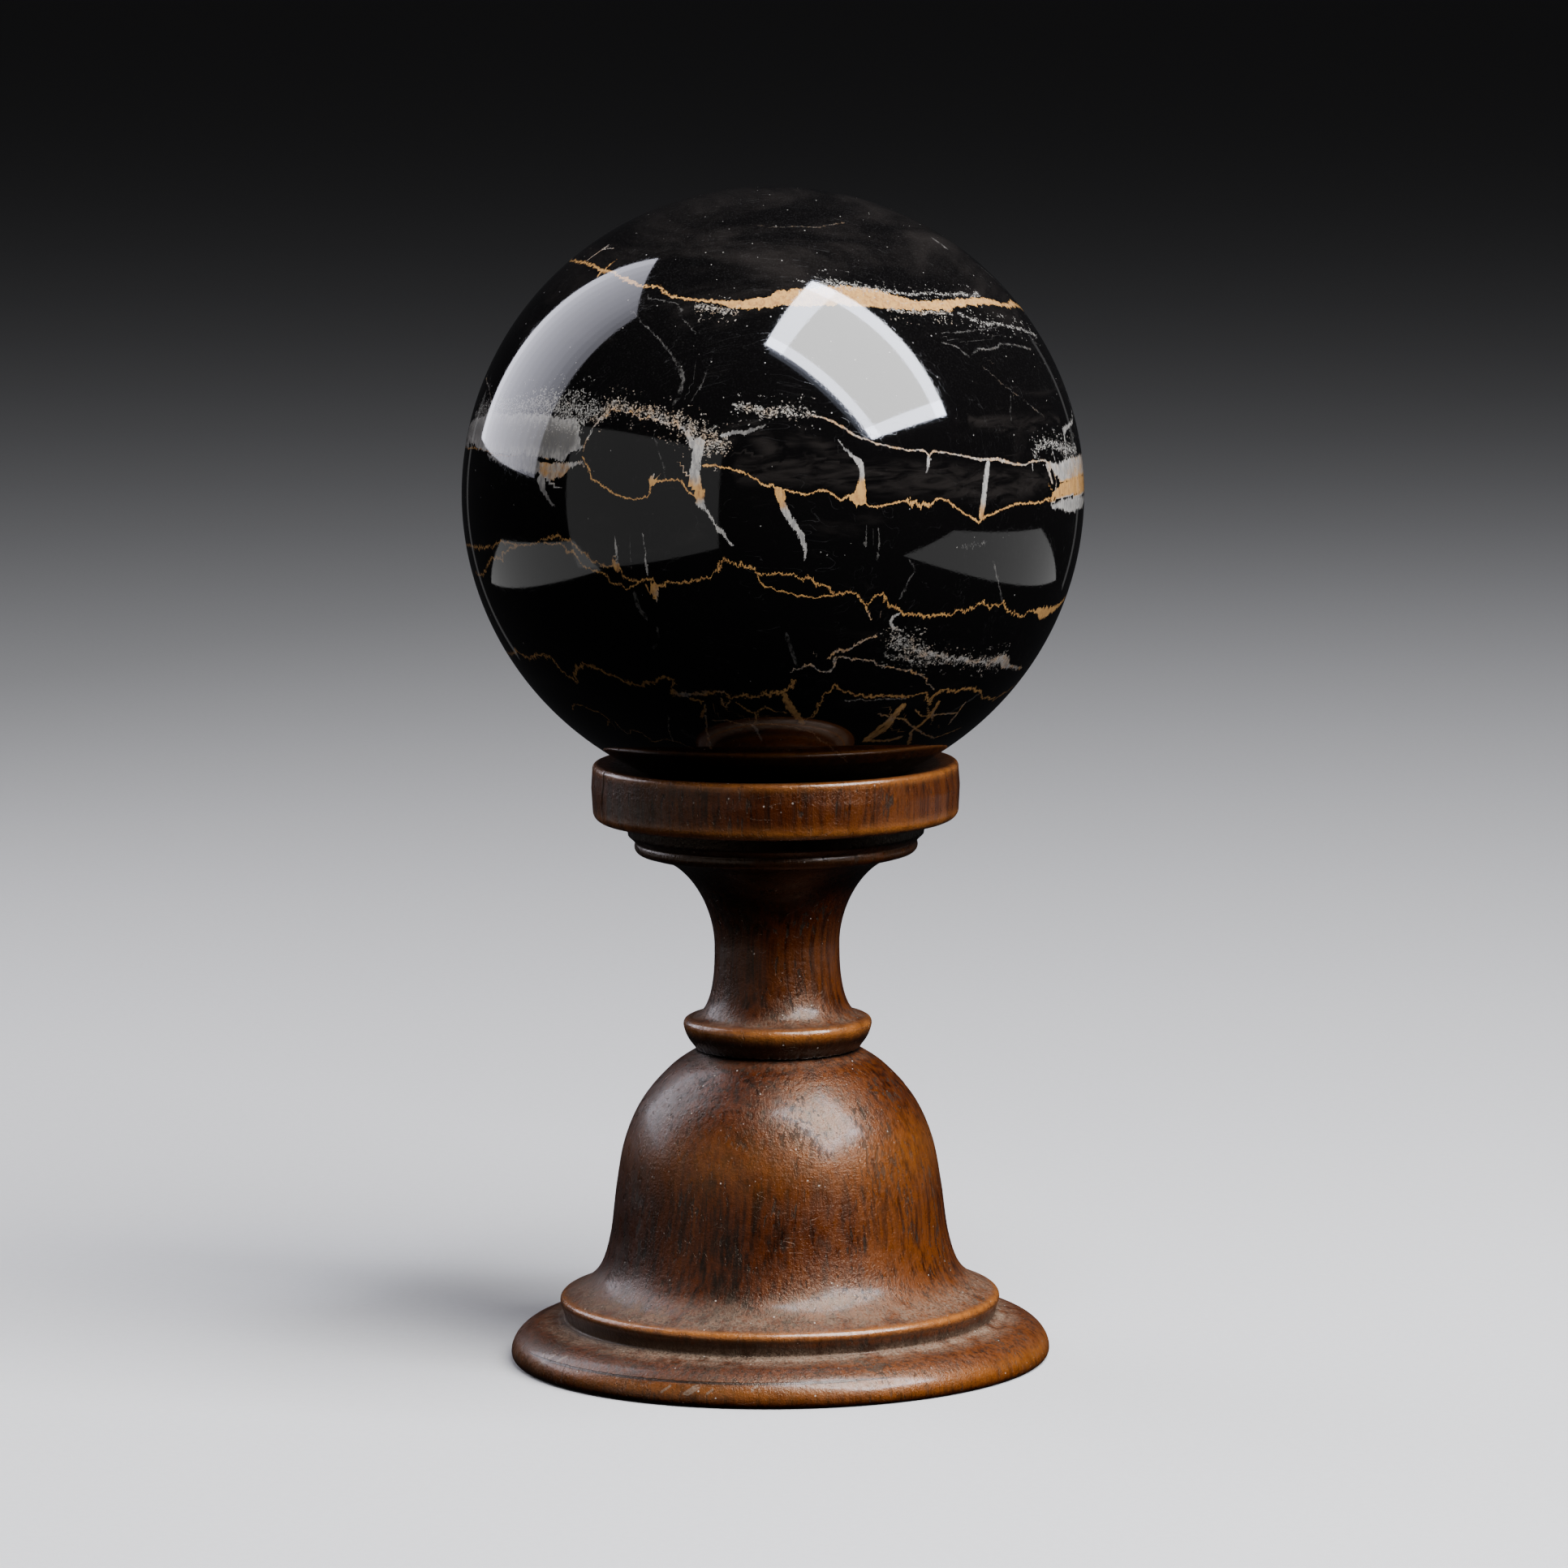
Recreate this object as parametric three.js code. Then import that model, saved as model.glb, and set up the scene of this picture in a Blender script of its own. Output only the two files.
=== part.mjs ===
// A polished black marble sphere resting in the cup of a turned wooden stand.
// Units are millimetres and +Z is up. The origin is on the table, at the middle of the foot.

import * as THREE from 'three';

// ---- Driving dimensions ----

const SEGMENTS = 48;             // facets round every piece
const FIT_GAP = 0.3;             // clearance where two pieces touch

const SPHERE_RADIUS = 60.2;      // at the equator
const SPHERE_HALF_HEIGHT = 59.4; // lapped very slightly flat
const SPHERE_CENTRE_Z = 169.4;
const SPHERE_STEPS = 24;         // facets from pole to pole

const JOINT_Z = 61.0;            // where the upper turning sits on the lower one
const TENON_RADIUS = 7.0;
const TENON_LENGTH = 14.0;

// Lower turning: a round-edged foot, a flange and a bell.
const FOOT_RADIUS = 52.8;        // widest, just above the table
const FOOT_EDGE_ROUND = 1.2;     // rounding down to the underside
const FOOT_WIDEST_Z = 1.4;
const FOOT_SHOULDER_RADIUS = 45.3;
const FOOT_ROUND_HEIGHT = 5.75;  // the quarter-round above the widest line
const FLANGE_FOOT_RADIUS = 42.2;
const FLANGE_FOOT_Z = 8.1;
const FLANGE_RADIUS = 43.15;
const FLANGE_Z = 11.5;           // middle of the rounded arris
const FLANGE_ROUND = 1.25;
const BELL_TOP_RADIUS = 15.8;
// The turner's stations up the bell, from the flange to the joint: radius, height.
const BELL_STATIONS = [
  [42.3, 12.6], [38.1, 14.8], [35.1, 18.2], [33.15, 24.5], [31.85, 34.3],
  [30.15, 43.1], [26.7, 50.8], [21.0, 57.3], [BELL_TOP_RADIUS, JOINT_Z - FIT_GAP / 2],
];

// Upper turning: a ring, a waisted stem, a bead and a cove under the cup's collar.
const RING_RADIUS = 18.4;
const RING_Z = 65.2;
const RING_HALF_HEIGHT = 1.8;
const RING_ROUND = 1.3;
const RING_FOOT_RADIUS = 16.0;
const RING_FOOT_Z = 62.6;
const RING_TOP_RADIUS = 17.5;
const RING_TOP_Z = 67.3;
const WAIST_RADIUS = 12.2;
const WAIST_Z = 81.5;
const LOWER_FLARE_POWER = 2.5;   // superellipse powers of the stem's two flares
const UPPER_FLARE_POWER = 1.85;
const BEAD_RADIUS = 27.6;
const BEAD_Z = 101.0;
const BEAD_ROUND = 1.5;
const BEAD_FOOT_RADIUS = 25.2;
const BEAD_FOOT_Z = 99.2;
const COVE_RADIUS = 28.8;        // middle of the shallow cove
const COVE_Z = 103.2;
const COVE_TOP_RADIUS = 29.3;
const COLLAR_BASE_Z = 106.1;
const COLLAR_RADIUS = 35.85;     // widest, a little above the middle
const COLLAR_WIDEST_Z = 112.6;
const COLLAR_FOOT_ROUND = 2.0;
const COLLAR_SIDE_TAPER = 0.25;  // how much narrower the collar is at its two arrises
const RIM_ROUND = 1.0;
const RIM_Z = 117.3;
const DISH_EDGE_RADIUS = 33.4;   // inner edge of the rim
const DISH_EDGE_DROP = 0.25;
const SEAT_RADIUS = 25.0;        // inside this the dish follows the sphere

// ---- Profiles, as radius and height ----

const point = ([radius, height]) => new THREE.Vector2(radius, height);

// An elliptical arc round (radius, height), between two angles in degrees from the horizontal.
function arc(radius, height, halfWidth, halfHeight, fromDeg, toDeg, steps) {
  const from = THREE.MathUtils.degToRad(fromDeg);
  const to = THREE.MathUtils.degToRad(toDeg);
  const clockwise = toDeg < fromDeg;
  return new THREE.EllipseCurve(radius, height, halfWidth, halfHeight, from, to, clockwise)
    .getPoints(steps);
}

// A quarter superellipse from the stem's waist out to (radius, height).
function flare(radius, height, power, steps) {
  const points = [];
  for (let i = 0; i <= steps; i++) {
    const angle = (i / steps) * (Math.PI / 2);
    const inward = Math.max(Math.cos(angle), 0) ** (2 / power);
    const along = Math.sin(angle) ** (2 / power);
    points.push(point([
      radius - (radius - WAIST_RADIUS) * inward,
      WAIST_Z + (height - WAIST_Z) * along,
    ]));
  }
  return points;
}

// The sphere's outline pushed out by a clearance, between two angles up from its lowest point.
function sphereArc(clearance, fromDeg, toDeg, steps) {
  return arc(0, SPHERE_CENTRE_Z, SPHERE_RADIUS + clearance, SPHERE_HALF_HEIGHT + clearance,
    fromDeg - 90, toDeg - 90, steps);
}

function sphereProfile() {
  const outline = sphereArc(0, 0, 180, SPHERE_STEPS);
  outline[0].x = 0;
  outline[SPHERE_STEPS].x = 0;
  return outline;
}

function lowerProfile() {
  const top = JOINT_Z - FIT_GAP / 2;
  const socketRadius = TENON_RADIUS + FIT_GAP;
  const socketFloor = JOINT_Z - TENON_LENGTH - FIT_GAP;
  const edge = FOOT_RADIUS - FOOT_EDGE_ROUND;
  return [
    point([0, 0]),
    point([edge + FOOT_EDGE_ROUND / 2, 0]),
    ...arc(edge, FOOT_WIDEST_Z, FOOT_EDGE_ROUND, FOOT_WIDEST_Z, -30, 0, 1),
    ...arc(FOOT_SHOULDER_RADIUS, FOOT_WIDEST_Z, FOOT_RADIUS - FOOT_SHOULDER_RADIUS,
      FOOT_ROUND_HEIGHT, 13, 78, 5),
    point([(FOOT_SHOULDER_RADIUS + FLANGE_FOOT_RADIUS) / 2, FLANGE_FOOT_Z - 0.7]),
    point([FLANGE_FOOT_RADIUS, FLANGE_FOOT_Z]),
    ...arc(FLANGE_RADIUS - FLANGE_ROUND, FLANGE_Z, FLANGE_ROUND, FLANGE_ROUND, -40, 50, 3),
    ...new THREE.SplineCurve(BELL_STATIONS.map(point)).getPoints(2 * (BELL_STATIONS.length - 1)),
    point([socketRadius, top]),
    point([socketRadius, socketFloor]),
    point([0, socketFloor]),
  ];
}

function upperProfile() {
  const base = JOINT_Z + FIT_GAP / 2;
  const tenonEnd = JOINT_Z - TENON_LENGTH;
  const collarEdge = COLLAR_RADIUS - COLLAR_SIDE_TAPER;
  const seatAngle = THREE.MathUtils.radToDeg(Math.asin(SEAT_RADIUS / SPHERE_RADIUS));
  const seat = sphereArc(FIT_GAP, seatAngle, 0, 4);
  seat[4].x = 0;
  return [
    point([0, tenonEnd]),
    point([TENON_RADIUS, tenonEnd]),
    point([TENON_RADIUS, base]),
    point([BELL_TOP_RADIUS, base]),
    point([RING_FOOT_RADIUS, RING_FOOT_Z]),
    ...arc(RING_RADIUS - RING_ROUND, RING_Z, RING_ROUND, RING_HALF_HEIGHT, -60, 60, 3),
    ...flare(RING_TOP_RADIUS, RING_TOP_Z, LOWER_FLARE_POWER, 5).reverse(),
    ...flare(BEAD_FOOT_RADIUS, BEAD_FOOT_Z, UPPER_FLARE_POWER, 7).slice(1),
    ...arc(BEAD_RADIUS - BEAD_ROUND, BEAD_Z, BEAD_ROUND, BEAD_ROUND, -60, 30, 3),
    point([COVE_RADIUS, COVE_Z]),
    point([COVE_TOP_RADIUS, COLLAR_BASE_Z]),
    ...arc(collarEdge - COLLAR_FOOT_ROUND, COLLAR_BASE_Z + COLLAR_FOOT_ROUND,
      COLLAR_FOOT_ROUND, COLLAR_FOOT_ROUND, -90, 0, 3),
    point([COLLAR_RADIUS, COLLAR_WIDEST_Z]),
    ...arc(collarEdge - RIM_ROUND, RIM_Z - RIM_ROUND, RIM_ROUND, RIM_ROUND, 0, 90, 3),
    point([DISH_EDGE_RADIUS, RIM_Z - DISH_EDGE_DROP]),
    ...seat,
  ];
}

// ---- Pieces ----

const marble = new THREE.MeshStandardMaterial({ color: 0x14110f, roughness: 0.08, metalness: 0 });
const cupWood = new THREE.MeshStandardMaterial({ color: 0x5a2c12, roughness: 0.35, metalness: 0 });
const footWood = new THREE.MeshStandardMaterial({ color: 0x6b3614, roughness: 0.4, metalness: 0 });

// A turned piece: its profile spun round the upright axis.
function turned(name, profile, material) {
  const mesh = new THREE.Mesh(new THREE.LatheGeometry(profile, SEGMENTS), material);
  mesh.name = name;
  mesh.rotation.x = Math.PI / 2;
  return mesh;
}

const group = new THREE.Group();
group.add(turned('bell_foot', lowerProfile(), footWood));
group.add(turned('cup_stem', upperProfile(), cupWood));
group.add(turned('marble_sphere', sphereProfile(), marble));

export default group;
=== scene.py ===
"""A polished black marble sphere with gold and white veins, resting in the cup of a turned wooden stand.

Lengths are millimetres inside the classes and metres in the meshes. Azimuth and longitude are 0 towards the
front (-Y) and grow towards +X.
"""

import logging
import math
from dataclasses import dataclass, field
from enum import Enum

import bpy
import numpy as np
from mathutils import Matrix, Vector


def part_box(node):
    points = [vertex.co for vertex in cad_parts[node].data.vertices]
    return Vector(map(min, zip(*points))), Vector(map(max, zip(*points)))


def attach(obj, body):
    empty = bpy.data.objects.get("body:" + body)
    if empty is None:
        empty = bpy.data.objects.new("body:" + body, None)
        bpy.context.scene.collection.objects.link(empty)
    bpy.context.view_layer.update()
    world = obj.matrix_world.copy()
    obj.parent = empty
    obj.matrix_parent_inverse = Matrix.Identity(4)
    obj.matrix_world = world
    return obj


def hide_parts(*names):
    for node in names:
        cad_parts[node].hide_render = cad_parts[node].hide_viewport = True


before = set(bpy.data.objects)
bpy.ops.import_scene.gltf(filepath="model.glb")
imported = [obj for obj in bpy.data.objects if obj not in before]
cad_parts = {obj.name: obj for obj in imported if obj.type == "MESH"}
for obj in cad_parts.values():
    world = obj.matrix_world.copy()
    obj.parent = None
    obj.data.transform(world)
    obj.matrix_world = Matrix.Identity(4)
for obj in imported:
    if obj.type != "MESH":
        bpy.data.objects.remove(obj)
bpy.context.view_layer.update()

LOG = logging.getLogger("decorative_sphere")
MM = 0.001
BLACK, WHITE = (0.0, 0.0, 0.0), (1.0, 1.0, 1.0)
Array = np.ndarray
Socket = bpy.types.NodeSocket
Feed = "Socket | float | tuple"


# ---------------------------------------------------------------- surfaces


def arc(centre: tuple, half: tuple, start: float, end: float, steps: int) -> Array:
    """An elliptical arc: centre plus (half width x cosine, half height x sine) of the angle.

    Args:
        centre: radius and height of the middle.
        half: half width and half height.
        start, end: angles in degrees from the horizontal.
        steps: how many steps from start to end.
    Returns:
        Radius and height of each point, as rows.
    """
    angle = np.radians(np.linspace(start, end, steps + 1))
    return np.stack([centre[0] + half[0] * np.cos(angle), centre[1] + half[1] * np.sin(angle)], 1)


def line(start: tuple, end: tuple, steps: int) -> Array:
    """A straight run, start and end left out: start plus an even share of (end minus start)."""
    share = (np.arange(1, steps) / steps)[:, None]
    return np.array(start) + share * (np.array(end) - np.array(start))


def flare(waist: tuple, end: tuple, power: float, steps: int) -> Array:
    """A quarter superellipse from a waist to an end.

    The radius closes on the end's as cosine to the 2/power, and the height climbs as sine to the 2/power.

    Args:
        waist: radius and height of the narrowest place.
        end: radius and height where the curve ends, level with the axis.
        power: the superellipse's power.
        steps: how many steps.
    Returns:
        Radius and height of each point, from the waist out.
    """
    angle = np.linspace(0, math.pi / 2, steps + 1)
    inward = np.maximum(np.cos(angle), 0) ** (2 / power)
    along = np.sin(angle) ** (2 / power)
    radius = end[0] - (end[0] - waist[0]) * inward
    return np.stack([radius, waist[1] + (end[1] - waist[1]) * along], 1)


def spline(stations: Array, steps: int) -> Array:
    """A uniform Catmull-Rom curve through the stations, steps points for each span.

    Each point is the cubic blend of four neighbouring stations, and the ends repeat their own station.

    Args:
        stations: radius and height of each station, as rows.
        steps: how many points for each span.
    Returns:
        Radius and height of each point, as rows.
    """
    padded = np.concatenate([stations[:1], stations, stations[-1:]])
    share = np.linspace(0, 1, steps, endpoint=False)[:, None]
    before, here, after, beyond = (padded[i:len(padded) - 3 + i, None, :] for i in range(4))
    curve = 0.5 * (2 * here + (after - before) * share
                   + (2 * before - 5 * here + 4 * after - beyond) * share**2
                   + (3 * here - before - 3 * after + beyond) * share**3)
    return np.concatenate([curve.reshape(-1, 2), stations[-1:]])


def around(*stretches: tuple) -> Array:
    """Azimuths in degrees once round from -180, built from (end, step) stretches; 180 itself is left out.

    Args:
        stretches: where each stretch ends and how far apart its azimuths are, in degrees.
    Returns:
        The azimuths.
    """
    azimuths, at = [], -180.0
    for end, step in stretches:
        count = max(1, round((end - at) / step))
        azimuths.append(np.linspace(at, end, count, endpoint=False))
        at = end
    return np.concatenate(azimuths)


def near(value: Array, centre: float, spread: float) -> Array:
    """A bell-shaped weight: e to the minus square of (value - centre) / spread."""
    return np.exp(-(((value - centre) / spread) ** 2))


def wobble(angle: Array, waves: tuple) -> Array:
    """Waves round a turning: the sum of height x cos(turns x angle + start) over (turns, height, start)."""
    return sum(height * np.cos(turns * angle + start) for turns, height, start in waves)


@dataclass
class Shell:
    """A closed surface of revolution, as a grid of profile rows and azimuth columns.

    Point (row, column) is (r sin a, -r cos a, z), with r and z the profile's and a the azimuth. lift is added
    to r, and may vary with both. The first and last row lie on the axis and become single points. layers
    holds the vertex attributes by name.
    """

    name: str
    profile: Array
    azimuths: Array
    lift: Array | float = 0.0
    layers: dict = field(default_factory=dict)

    def counts(self) -> tuple:
        """How many rings of points lie between the two ends, and how many points each has."""
        return len(self.profile) - 2, len(self.azimuths)

    def build(self, finish: bpy.types.Material) -> bpy.types.Object:
        """Makes the mesh object with its UV map, its attributes and its finish.

        Args:
            finish: the material.
        Returns:
            The linked object, at the origin, with smooth faces that point outwards.
        """
        rows, columns = self.counts()
        angle = np.radians(self.azimuths)[None, :]
        radius = (self.profile[1:-1, :1] + self.lift) * np.ones((rows, columns))
        height = self.profile[1:-1, 1:] * np.ones((rows, columns))
        ring = np.stack([radius * np.sin(angle), -radius * np.cos(angle), height], 2).reshape(-1, 3)
        poles = np.array([[0, 0, self.profile[0, 1]], [0, 0, self.profile[-1, 1]]])
        points = np.concatenate([ring, poles]) * MM
        index = np.arange(rows * columns).reshape(rows, columns)
        beside = np.roll(index, -1, 1)
        quads = np.stack([index[:-1], beside[:-1], beside[1:], index[1:]], 2).reshape(-1, 4)
        low, high = rows * columns, rows * columns + 1
        base = np.stack([beside[0], index[0], np.full(columns, low)], 1)
        top = np.stack([index[-1], beside[-1], np.full(columns, high)], 1)
        mesh = bpy.data.meshes.new(self.name)
        mesh.from_pydata(points.tolist(), [], quads.tolist() + base.tolist() + top.tolist())
        mesh.polygons.foreach_set("use_smooth", np.ones(len(mesh.polygons), bool))
        self.unwrap(mesh)
        for name, values in self.layers.items():
            self.store(mesh, name, values)
        mesh.validate()
        mesh.materials.append(finish)
        piece = bpy.data.objects.new(self.name, mesh)
        bpy.context.scene.collection.objects.link(piece)
        LOG.info("%s: %d faces", self.name, len(mesh.polygons))
        return piece

    def unwrap(self, mesh: bpy.types.Mesh) -> None:
        """Lays the UV map: u is the azimuth's share of a turn, v the share of the profile's length.

        Args:
            mesh: the shell's mesh.
        """
        rows, columns = self.counts()
        run = np.concatenate([[0], np.cumsum(np.hypot(*np.diff(self.profile, axis=0).T))])
        v = run / run[-1]
        left = (self.azimuths + 180) / 360
        right = np.append(left[1:], 1.0)
        middle = (left + right) / 2
        u_quads = np.broadcast_to(np.stack([left, right, right, left], 1), (rows - 1, columns, 4))
        v_rows = np.stack([v[1:-2], v[1:-2], v[2:-1], v[2:-1]], 1)[:, None, :]
        v_quads = np.broadcast_to(v_rows, (rows - 1, columns, 4))
        quads = np.stack([u_quads, v_quads], 3).reshape(-1)
        base = np.stack([np.stack([right, left, middle], 1),
                         np.broadcast_to([v[1], v[1], 0], (columns, 3))], 2)
        top = np.stack([np.stack([left, right, middle], 1),
                        np.broadcast_to([v[-2], v[-2], 1], (columns, 3))], 2)
        layer = mesh.uv_layers.new(name="OFBake")
        layer.data.foreach_set("uv", np.concatenate([quads, base.ravel(), top.ravel()]).astype(np.float32))

    def store(self, mesh: bpy.types.Mesh, name: str, values: Array) -> None:
        """Writes values, one, three or four numbers for each vertex, as a named attribute.

        Args:
            mesh: the shell's mesh.
            name: the attribute's name.
            values: the numbers, as rows.
        """
        wide = 1 if values.ndim == 1 else values.shape[1]
        kinds = {1: ("FLOAT", "value"), 3: ("FLOAT_VECTOR", "vector"), 4: ("FLOAT_COLOR", "color")}
        kind, slot = kinds[wide]
        attribute = mesh.attributes.new(name, kind, "POINT")
        attribute.data.foreach_set(slot, values.astype(np.float32).ravel())

    def spread_rows(self, per_row: Array) -> Array:
        """A value for each profile row, repeated round the shell, with the two axis points last."""
        inner = np.repeat(per_row[1:-1], len(self.azimuths))
        return np.concatenate([inner, per_row[[0, -1]]])

    def as_grid(self, per_vertex: Array) -> Array:
        """A value for each vertex, as profile rows and azimuth columns, with the two axis points left out."""
        return per_vertex[:-2].reshape(self.counts())

    def places(self) -> Array:
        """Radius, azimuth and height of every vertex, as rows, with the two axis points last.

        Returns:
            The rows, in the order of the mesh's vertices.
        """
        rows, columns = self.counts()
        inner = np.stack([np.repeat(self.profile[1:-1, 0], columns), np.tile(self.azimuths, rows),
                          np.repeat(self.profile[1:-1, 1], columns)], 1)
        ends = np.array([[0, 0, self.profile[0, 1]], [0, 0, self.profile[-1, 1]]])
        return np.concatenate([inner, ends])


# ---------------------------------------------------------------- shader helpers


class Wiring:
    """Adds nodes to one node tree and joins them. Each method returns the socket that carries the result."""

    def __init__(self, tree: bpy.types.NodeTree) -> None:
        """Keeps the tree."""
        self.tree = tree

    def add(self, kind: str, **settings: object) -> bpy.types.Node:
        """Adds one node and sets its properties.

        Args:
            kind: the node's type.
            settings: its properties by name.
        Returns:
            The node.
        """
        node = self.tree.nodes.new(kind)
        for name, value in settings.items():
            setattr(node, name, value)
        return node

    def feed(self, value: Feed, socket: Socket) -> None:
        """Links value to the socket where it is a socket, and otherwise sets it there.

        Args:
            value: a socket, a number or a colour.
            socket: the input that takes it.
        """
        if isinstance(value, bpy.types.NodeSocket):
            self.tree.links.new(value, socket)
        elif isinstance(value, tuple) and len(value) == 3 and socket.type == "RGBA":
            socket.default_value = (*value, 1.0)
        else:
            socket.default_value = value

    def math(self, operation: str, first: Feed, second: Feed = 0.0, clamp: bool = False) -> Socket:
        """One arithmetic step on two numbers, held to 0 to 1 where clamp is set.

        Args:
            operation: the step's name.
            first, second: the numbers.
            clamp: whether to hold the result.
        Returns:
            The result.
        """
        node = self.add("ShaderNodeMath", operation=operation, use_clamp=clamp)
        self.feed(first, node.inputs[0])
        self.feed(second, node.inputs[1])
        return node.outputs[0]

    def plus(self, first: Feed, second: Feed) -> Socket:
        """The sum of two numbers."""
        return self.math("ADD", first, second)

    def minus(self, first: Feed, second: Feed) -> Socket:
        """The first number less the second."""
        return self.math("SUBTRACT", first, second)

    def times(self, first: Feed, second: Feed, clamp: bool = False) -> Socket:
        """The product of two numbers."""
        return self.math("MULTIPLY", first, second, clamp)

    def vector(self, operation: str, first: Feed, second: Feed) -> Socket:
        """One arithmetic step on two vectors.

        Args:
            operation: the step's name.
            first, second: the vectors.
        Returns:
            The result.
        """
        node = self.add("ShaderNodeVectorMath", operation=operation)
        self.feed(first, node.inputs[0])
        self.feed(second, node.inputs[1])
        return node.outputs[0]

    def noise_node(self, place: Socket, scale: float, detail: float, rough: float = 0.5,
                   bend: float = 0.0) -> bpy.types.Node:
        """A cloudy noise's node, with scale waves to each millimetre.

        Args:
            place: where it is read.
            scale: waves to each millimetre.
            detail: how many finer layers it has.
            rough: how strong the finer layers are.
            bend: how much it is distorted.
        Returns:
            The node.
        """
        node = self.add("ShaderNodeTexNoise")
        self.feed(place, node.inputs["Vector"])
        for name, value in (("Scale", scale), ("Detail", detail), ("Roughness", rough), ("Distortion", bend)):
            node.inputs[name].default_value = value
        return node

    def noise(self, place: Socket, scale: float, detail: float = 3.0, rough: float = 0.5) -> Socket:
        """Cloudy noise, 0 to 1, with scale waves to each millimetre."""
        return self.noise_node(place, scale, detail, rough).outputs[0]

    def drawn_noise(self, place: Socket, waves: tuple, detail: float = 3.0, rough: float = 0.5,
                    bend: float = 0.0) -> Socket:
        """Cloudy noise, 0 to 1, with its own number of waves to a millimetre along each axis."""
        drawn = self.vector("MULTIPLY", place, waves)
        return self.noise_node(drawn, 1.0, detail, rough, bend).outputs[0]

    def ripple(self, place: Socket, scale: float, detail: float, rough: float = 0.5) -> Socket:
        """Cloudy noise about nought, -0.5 to 0.5."""
        return self.minus(self.noise(place, scale, detail, rough), 0.5)

    def cells(self, place: Socket, scale: float) -> tuple:
        """Scattered points: the distance to the nearest one, in cells, and that cell's own random colour.

        Args:
            place: where they are read.
            scale: points to each millimetre.
        Returns:
            The distance and the colour.
        """
        node = self.add("ShaderNodeTexVoronoi", feature="F1")
        self.feed(place, node.inputs["Vector"])
        node.inputs["Scale"].default_value = scale
        return node.outputs["Distance"], node.outputs["Color"]

    def span(self, value: Feed, low: Feed, high: Feed, to_low: Feed = 0.0, to_high: Feed = 1.0) -> Socket:
        """Eases value from to_low at low to to_high at high, and holds it beyond them.

        Args:
            value: what is eased.
            low, high: the range that it is eased over.
            to_low, to_high: the results at the range's ends.
        Returns:
            The eased number.
        """
        node = self.add("ShaderNodeMapRange", interpolation_type="SMOOTHSTEP")
        for socket, given in zip(node.inputs, (value, low, high, to_low, to_high)):
            self.feed(given, socket)
        return node.outputs[0]

    def mix(self, share: Feed, first: Feed, second: Feed, blend: str = "MIX") -> Socket:
        """A colour from first at share 0 to second at share 1.

        Args:
            share: how much of the second.
            first, second: the colours.
            blend: how they are blended.
        Returns:
            The colour.
        """
        node = self.add("ShaderNodeMix", data_type="RGBA", blend_type=blend)
        self.feed(share, node.inputs[0])
        self.feed(first, node.inputs[6])
        self.feed(second, node.inputs[7])
        return node.outputs[2]

    def between(self, share: Feed, first: Feed, second: Feed) -> Socket:
        """A number from first at share 0 to second at share 1.

        Args:
            share: how much of the second.
            first, second: the numbers.
        Returns:
            The number.
        """
        node = self.add("ShaderNodeMix", data_type="FLOAT")
        self.feed(share, node.inputs[0])
        self.feed(first, node.inputs[2])
        self.feed(second, node.inputs[3])
        return node.outputs[0]

    def attribute(self, name: str) -> bpy.types.Node:
        """A vertex attribute's node."""
        return self.add("ShaderNodeAttribute", attribute_name=name)

    def millimetres(self) -> Socket:
        """Object coordinates in millimetres."""
        return self.vector("MULTIPLY", self.add("ShaderNodeTexCoord").outputs["Object"], (1 / MM,) * 3)

    def parts(self, vector: Socket) -> list:
        """The three numbers of a vector."""
        node = self.add("ShaderNodeSeparateXYZ")
        self.feed(vector, node.inputs[0])
        return list(node.outputs)

    def bump(self, height: Feed, depth: float, strength: float = 1.0) -> Socket:
        """A normal from a height of 0 to 1 that stands for depth metres.

        Args:
            height: the height.
            depth: what a height of 1 stands for, in metres.
            strength: how much of the bump is kept.
        Returns:
            The normal.
        """
        node = self.add("ShaderNodeBump")
        node.inputs["Distance"].default_value = depth
        node.inputs["Strength"].default_value = strength
        self.feed(height, node.inputs["Height"])
        return node.outputs[0]

    def group(self, tree: bpy.types.NodeTree, **given: Feed) -> dict:
        """Places a node group, feeds its named inputs and returns its outputs by name.

        Args:
            tree: the group.
            given: a value or socket for each named input.
        Returns:
            The output sockets by name.
        """
        node = self.add("ShaderNodeGroup", node_tree=tree)
        for name, value in given.items():
            self.feed(value, node.inputs[name])
        return {socket.name: socket for socket in node.outputs}


def new_group(name: str, inputs: tuple, outputs: tuple) -> tuple:
    """Starts a shader node group. Its socket Place is a vector, and every other one a number.

    Args:
        name: the group's name.
        inputs: the input sockets' names.
        outputs: the output sockets' names.
    Returns:
        The tree, its Wiring, the input sockets by name and the output node.
    """
    tree = bpy.data.node_groups.new(name, "ShaderNodeTree")
    for way, sockets in (("INPUT", inputs), ("OUTPUT", outputs)):
        for socket in sockets:
            kind = "NodeSocketVector" if socket == "Place" else "NodeSocketFloat"
            tree.interface.new_socket(name=socket, in_out=way, socket_type=kind)
    wires = Wiring(tree)
    entry = wires.add("NodeGroupInput")
    leave = wires.add("NodeGroupOutput")
    return tree, wires, {socket.name: socket for socket in entry.outputs if socket.name}, leave


def fleck_scatter() -> bpy.types.NodeTree:
    """Tiny round flecks at scattered points. A cell holds one where its random number passes Rarity.

    Returns:
        The group.
    """
    tree, w, given, leave = new_group("fleck_scatter", ("Place", "Rarity", "Size"), ("Mask",))
    distance, colour = w.cells(given["Place"], 0.9)
    chance, share, _ = w.parts(colour)
    kept = w.math("GREATER_THAN", chance, given["Rarity"])
    radius = w.times(given["Size"], w.span(share, 0.0, 1.0, 0.35, 1.0))
    dot = w.span(distance, radius, w.times(radius, 0.5))
    w.feed(w.times(dot, kept), leave.inputs["Mask"])
    return tree


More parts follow.
